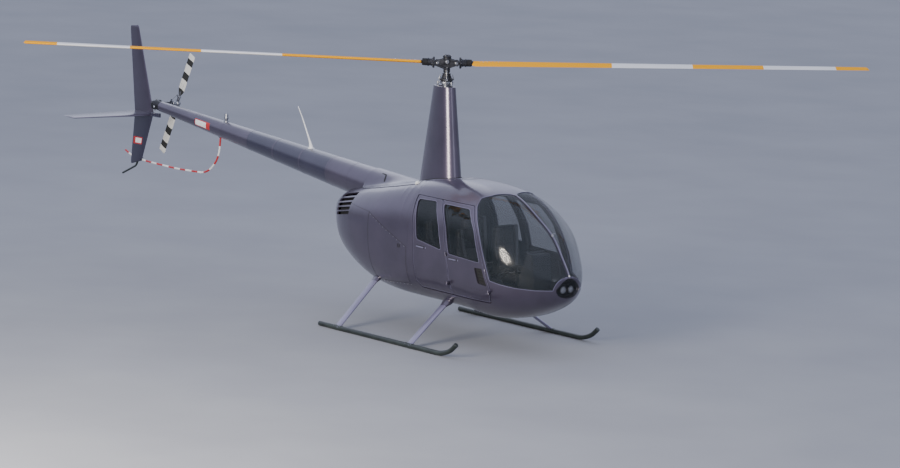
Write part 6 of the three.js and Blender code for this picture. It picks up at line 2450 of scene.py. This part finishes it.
class AddLandingGear(bpy.types.Operator):
    """Skid tubes with their shoes, and the struts with their cuffs"""
    bl_idname = "helicopter.landing_gear"
    bl_label = "Landing gear"

    def execute(self, context):
        for hand, side in SIDES:
            self.add_tube(hand, side)
            for place, ends in STRUT_ENDS.items():
                self.add_strut(place, hand, side, ends)
        return {"FINISHED"}

    def add_tube(self, hand, side):
        path = mast_path([(x, side * TRACK, z + TUBE_AXIS) for x, z in SKID_CORNERS], 0.15, 10)
        bm = bmesh.new()
        tube(bm, path, TUBE_RADIUS, 28, SIDEWAYS)
        for end, direction in ((path[0], (-1, 0, 0)), (path[-1], path[-1] - path[-2])):
            turned(bm, [(0, 0.004), (0.020, 0.0035), (TUBE_RADIUS, 0.0), (TUBE_RADIUS, -0.003),
                        (0, -0.003)], end, direction, 28)
        for start, length in SKID_SHOES:
            rings = []
            for x in (start, start + 0.012, start + length - 0.012, start + length):
                low = 0.0008 if x in (start, start + length) else 0.0
                shoe = ((-0.022, 0.010), (-0.0165, 0.0035), (-0.010, low), (0.010, low), (0.0165, 0.0035),
                        (0.022, 0.010), (0.020, 0.012), (-0.020, 0.012))
                rings.append([from_mast(x, side * TRACK + y, z) for y, z in shoe])
            loft(bm, rings, material=1)
        finish_piece(f"skid_{hand}", bm, ("skid", "forging"), AIRFRAME,
                     replaces=(f"skid_tube_{hand}",), sharp=50)

        bm = bmesh.new()
        sleeve = [(0.0285, -0.075), (0.0300, -0.075), (0.0325, -0.070), (0.0325, 0.070), (0.0300, 0.075),
                  (0.0285, 0.075), (0.0285, -0.075)]
        for _, (x, _, _) in STRUT_ENDS.values():
            turned(bm, sleeve, from_mast(x, side * TRACK, TUBE_AXIS), (1, 0, 0), 28)
            for dx in (-0.055, 0.055):
                for dy in (-1, 1):
                    place = from_mast(x + dx, side * TRACK + dy * 0.0225, TUBE_AXIS + 0.0225)
                    stud(bm, place, (0, dy, 1), 0.005, 0.004, 6, 1)
        for vert in bm.verts:
            vert.co.z = max(vert.co.z, 0.0004)
        finish_piece(f"skid_saddles_{hand}", bm, ("skid", "alloy"), AIRFRAME, sharp=50)

    def add_strut(self, place, hand, side, ends):
        (x0, y0, z0), (x1, y1, z1) = ends
        top, foot = from_mast(x0, side * y0, z0), from_mast(x1, side * y1, z1)
        run = (foot - top).normalized()
        chordwise = Vector((1, 0, 0))
        up = run.cross(chordwise).normalized()
        if up.z < 0:
            up.negate()
        bm = bmesh.new()
        rings = []
        for k in range(13):
            f = k / 12
            middle = top.lerp(foot, f)
            half = STRUT_CHORD / 2 * (1 + 0.10 * (1 - f) ** 6)
            rings.append(wing_ring(middle + chordwise * half, middle - chordwise * half, STRUT_THICK,
                                   up, 16))
        loft(bm, rings)
        for vert in bm.verts:
            vert.co.z = max(vert.co.z, 0.012)
        finish_piece(f"strut_skin_{place}_{hand}", bm, ("strut",), AIRFRAME,
                     replaces=(f"strut_{place}_{hand}",), sharp=50)

        bm = bmesh.new()
        rings = []
        for f, grow in STRUT_CUFF:
            middle = top.lerp(foot, f)
            half = STRUT_CHORD / 2 + grow
            thick = STRUT_THICK * STRUT_CHORD / (2 * half) + grow * 0.9 / half
            rings.append(wing_ring(middle + chordwise * half, middle - chordwise * half, thick, up, 16))
        loft(bm, rings)
        finish_piece(f"strut_cuff_{place}_{hand}", bm, ("paint",), AIRFRAME, sharp=50)


class AddStage(bpy.types.Operator):
    """Floor, lights and the camera at the photograph's angle"""
    bl_idname = "helicopter.stage"
    bl_label = "Stage"

    def execute(self, context):
        scene = context.scene
        bm = bmesh.new()
        bmesh.ops.create_grid(bm, x_segments=1, y_segments=1, size=150.0)
        mesh = mesh_of(bm, "floor")
        floor = bpy.data.objects.new("floor", mesh)
        scene.collection.objects.link(floor)
        material, tree, shader, place = blank_material("Pale floor", {"Roughness": 0.9})
        tinted(tree, shader, noise(tree, place, 2.0).outputs["Fac"], colour("#8C8E92"), colour("#949699"))
        mesh.materials.append(material)

        world = bpy.data.worlds.new("studio")
        scene.world = world
        world.use_nodes = True
        tree = world.node_tree
        height = add_node(tree, "ShaderNodeSeparateXYZ",
                          links={"Vector": add_node(tree, "ShaderNodeTexCoord").outputs["Generated"]})
        sky = add_node(tree, "ShaderNodeValToRGB", links={"Fac": height.outputs["Z"]})
        for stop, (place, tint) in zip(sky.color_ramp.elements, SKY):
            stop.position = place
            stop.color = colour(tint)
        tree.links.new(sky.outputs["Color"], tree.nodes["Background"].inputs["Color"])
        tree.nodes["Background"].inputs["Strength"].default_value = SKY_STRENGTH

        for name, place, (width, height), power, tint in LIGHTS:
            light = bpy.data.lights.new(name, "AREA")
            light.shape = "ELLIPSE"
            light.size = width
            light.size_y = height
            light.energy = power
            light.color = colour(tint)[:3]
            lamp = bpy.data.objects.new(name, light)
            lamp.location = from_mast(*place)
            aim = from_mast(0.0, 0.0, 1.4) - lamp.location
            lamp.rotation_euler = aim.to_track_quat("-Z", "Y").to_euler()
            scene.collection.objects.link(lamp)

        camera_data = bpy.data.cameras.new("camera")
        camera_data.lens = CAMERA_LENS
        camera_data.sensor_width = 36.0
        camera_data.clip_end = 500.0
        camera = bpy.data.objects.new("camera", camera_data)
        azimuth, elevation, roll = (math.radians(a) for a in CAMERA_ANGLES)
        back = Vector((math.cos(elevation) * math.cos(azimuth), -math.cos(elevation) * math.sin(azimuth),
                       math.sin(elevation)))
        right = (-back).cross(Vector((0, 0, 1))).normalized()
        up = right.cross(-back)
        tilted_right = right * math.cos(roll) + up * math.sin(roll)
        tilted_up = up * math.cos(roll) - right * math.sin(roll)
        turn = Matrix((tilted_right, tilted_up, back)).transposed().to_4x4()
        camera.matrix_world = Matrix.Translation(from_mast(*CAMERA_PLACE)) @ turn
        scene.collection.objects.link(camera)
        scene.camera = camera
        return {"FINISHED"}


# Camera: place from the mast, degrees off the nose, above the floor and of roll, and lens in mm
CAMERA_PLACE = (40.514, -33.454, 9.284)
CAMERA_ANGLES = (39.665, 8.781, 2.001)
CAMERA_LENS = 177.417

# Surrounding light: its tint at two heights, from level to overhead, and its strength
SKY = ((0.02, "#7F838F"), (0.25, "#DDE4FF"))
SKY_STRENGTH = 1.15

# Soft lights: name, place from the mast, width and height in metres, power in watts, tint
LIGHTS = (
    ("key", (4.7, -14.9, 4.8), (5.2, 6.5), 2800.0, "#FFF6EA"),
    ("front", (16.0, -3.0, 5.0), (5.0, 5.0), 120.0, "#EEF0FF"),
    ("rim", (-12.0, 6.0, 9.0), (8.0, 8.0), 100.0, "#F2F5FF"),
)


class HelicopterColours(bpy.types.PropertyGroup):
    """Paints that a user may change"""
    body: StringProperty(name="Body", description="Dark tone of the body's metallic paint",
                         default="#463F50")
    body_light: StringProperty(name="Body, light", description="Light tone of the body's metallic paint",
                               default="#51495B")
    strut: StringProperty(name="Strut", description="Dark tone of the struts' paint", default="#6C6982")
    strut_light: StringProperty(name="Strut, light", description="Light tone of the struts' paint",
                                default="#7B7892")
    blade: StringProperty(name="Blade", description="Main colour of the main blades", default="#FFB000")
    band: StringProperty(name="Blade band", description="Colour of the bands on the main blades",
                         default="#E9E9E6")


class HelicopterPanel(bpy.types.Panel):
    """Buttons for the helicopter's pieces"""
    bl_idname = "VIEW3D_PT_helicopter"
    bl_label = "Helicopter"
    bl_space_type = "VIEW_3D"
    bl_region_type = "UI"
    bl_category = "Helicopter"

    def draw(self, context):
        for operator in OPERATORS:
            self.layout.operator(operator.bl_idname)
        for name in HelicopterColours.__annotations__:
            self.layout.prop(context.scene.helicopter_colours, name)


OPERATORS = (AddCabinShell, AddNoseLamps, AddDoors, AddWindscreen, AddCabinFloor, AddSeats, AddControls,
             AddEngine, AddEngineCowl, AddMastFairing, AddConeFairing, AddTailCone, AddTailSurfaces,
             AddMainBlades, AddRotorHead, AddTailRotor, AddLandingGear, AddStage)
CLASSES = (HelicopterColours, *OPERATORS, HelicopterPanel)


def register():
    for cls in CLASSES:
        bpy.utils.register_class(cls)
    bpy.types.Scene.helicopter_colours = PointerProperty(type=HelicopterColours)


def unregister():
    del bpy.types.Scene.helicopter_colours
    for cls in reversed(CLASSES):
        bpy.utils.unregister_class(cls)


def main():
    register()
    for operator in OPERATORS:
        group, name = operator.bl_idname.split(".")
        getattr(getattr(bpy.ops, group), name)()


if __name__ == "__main__":
    main()
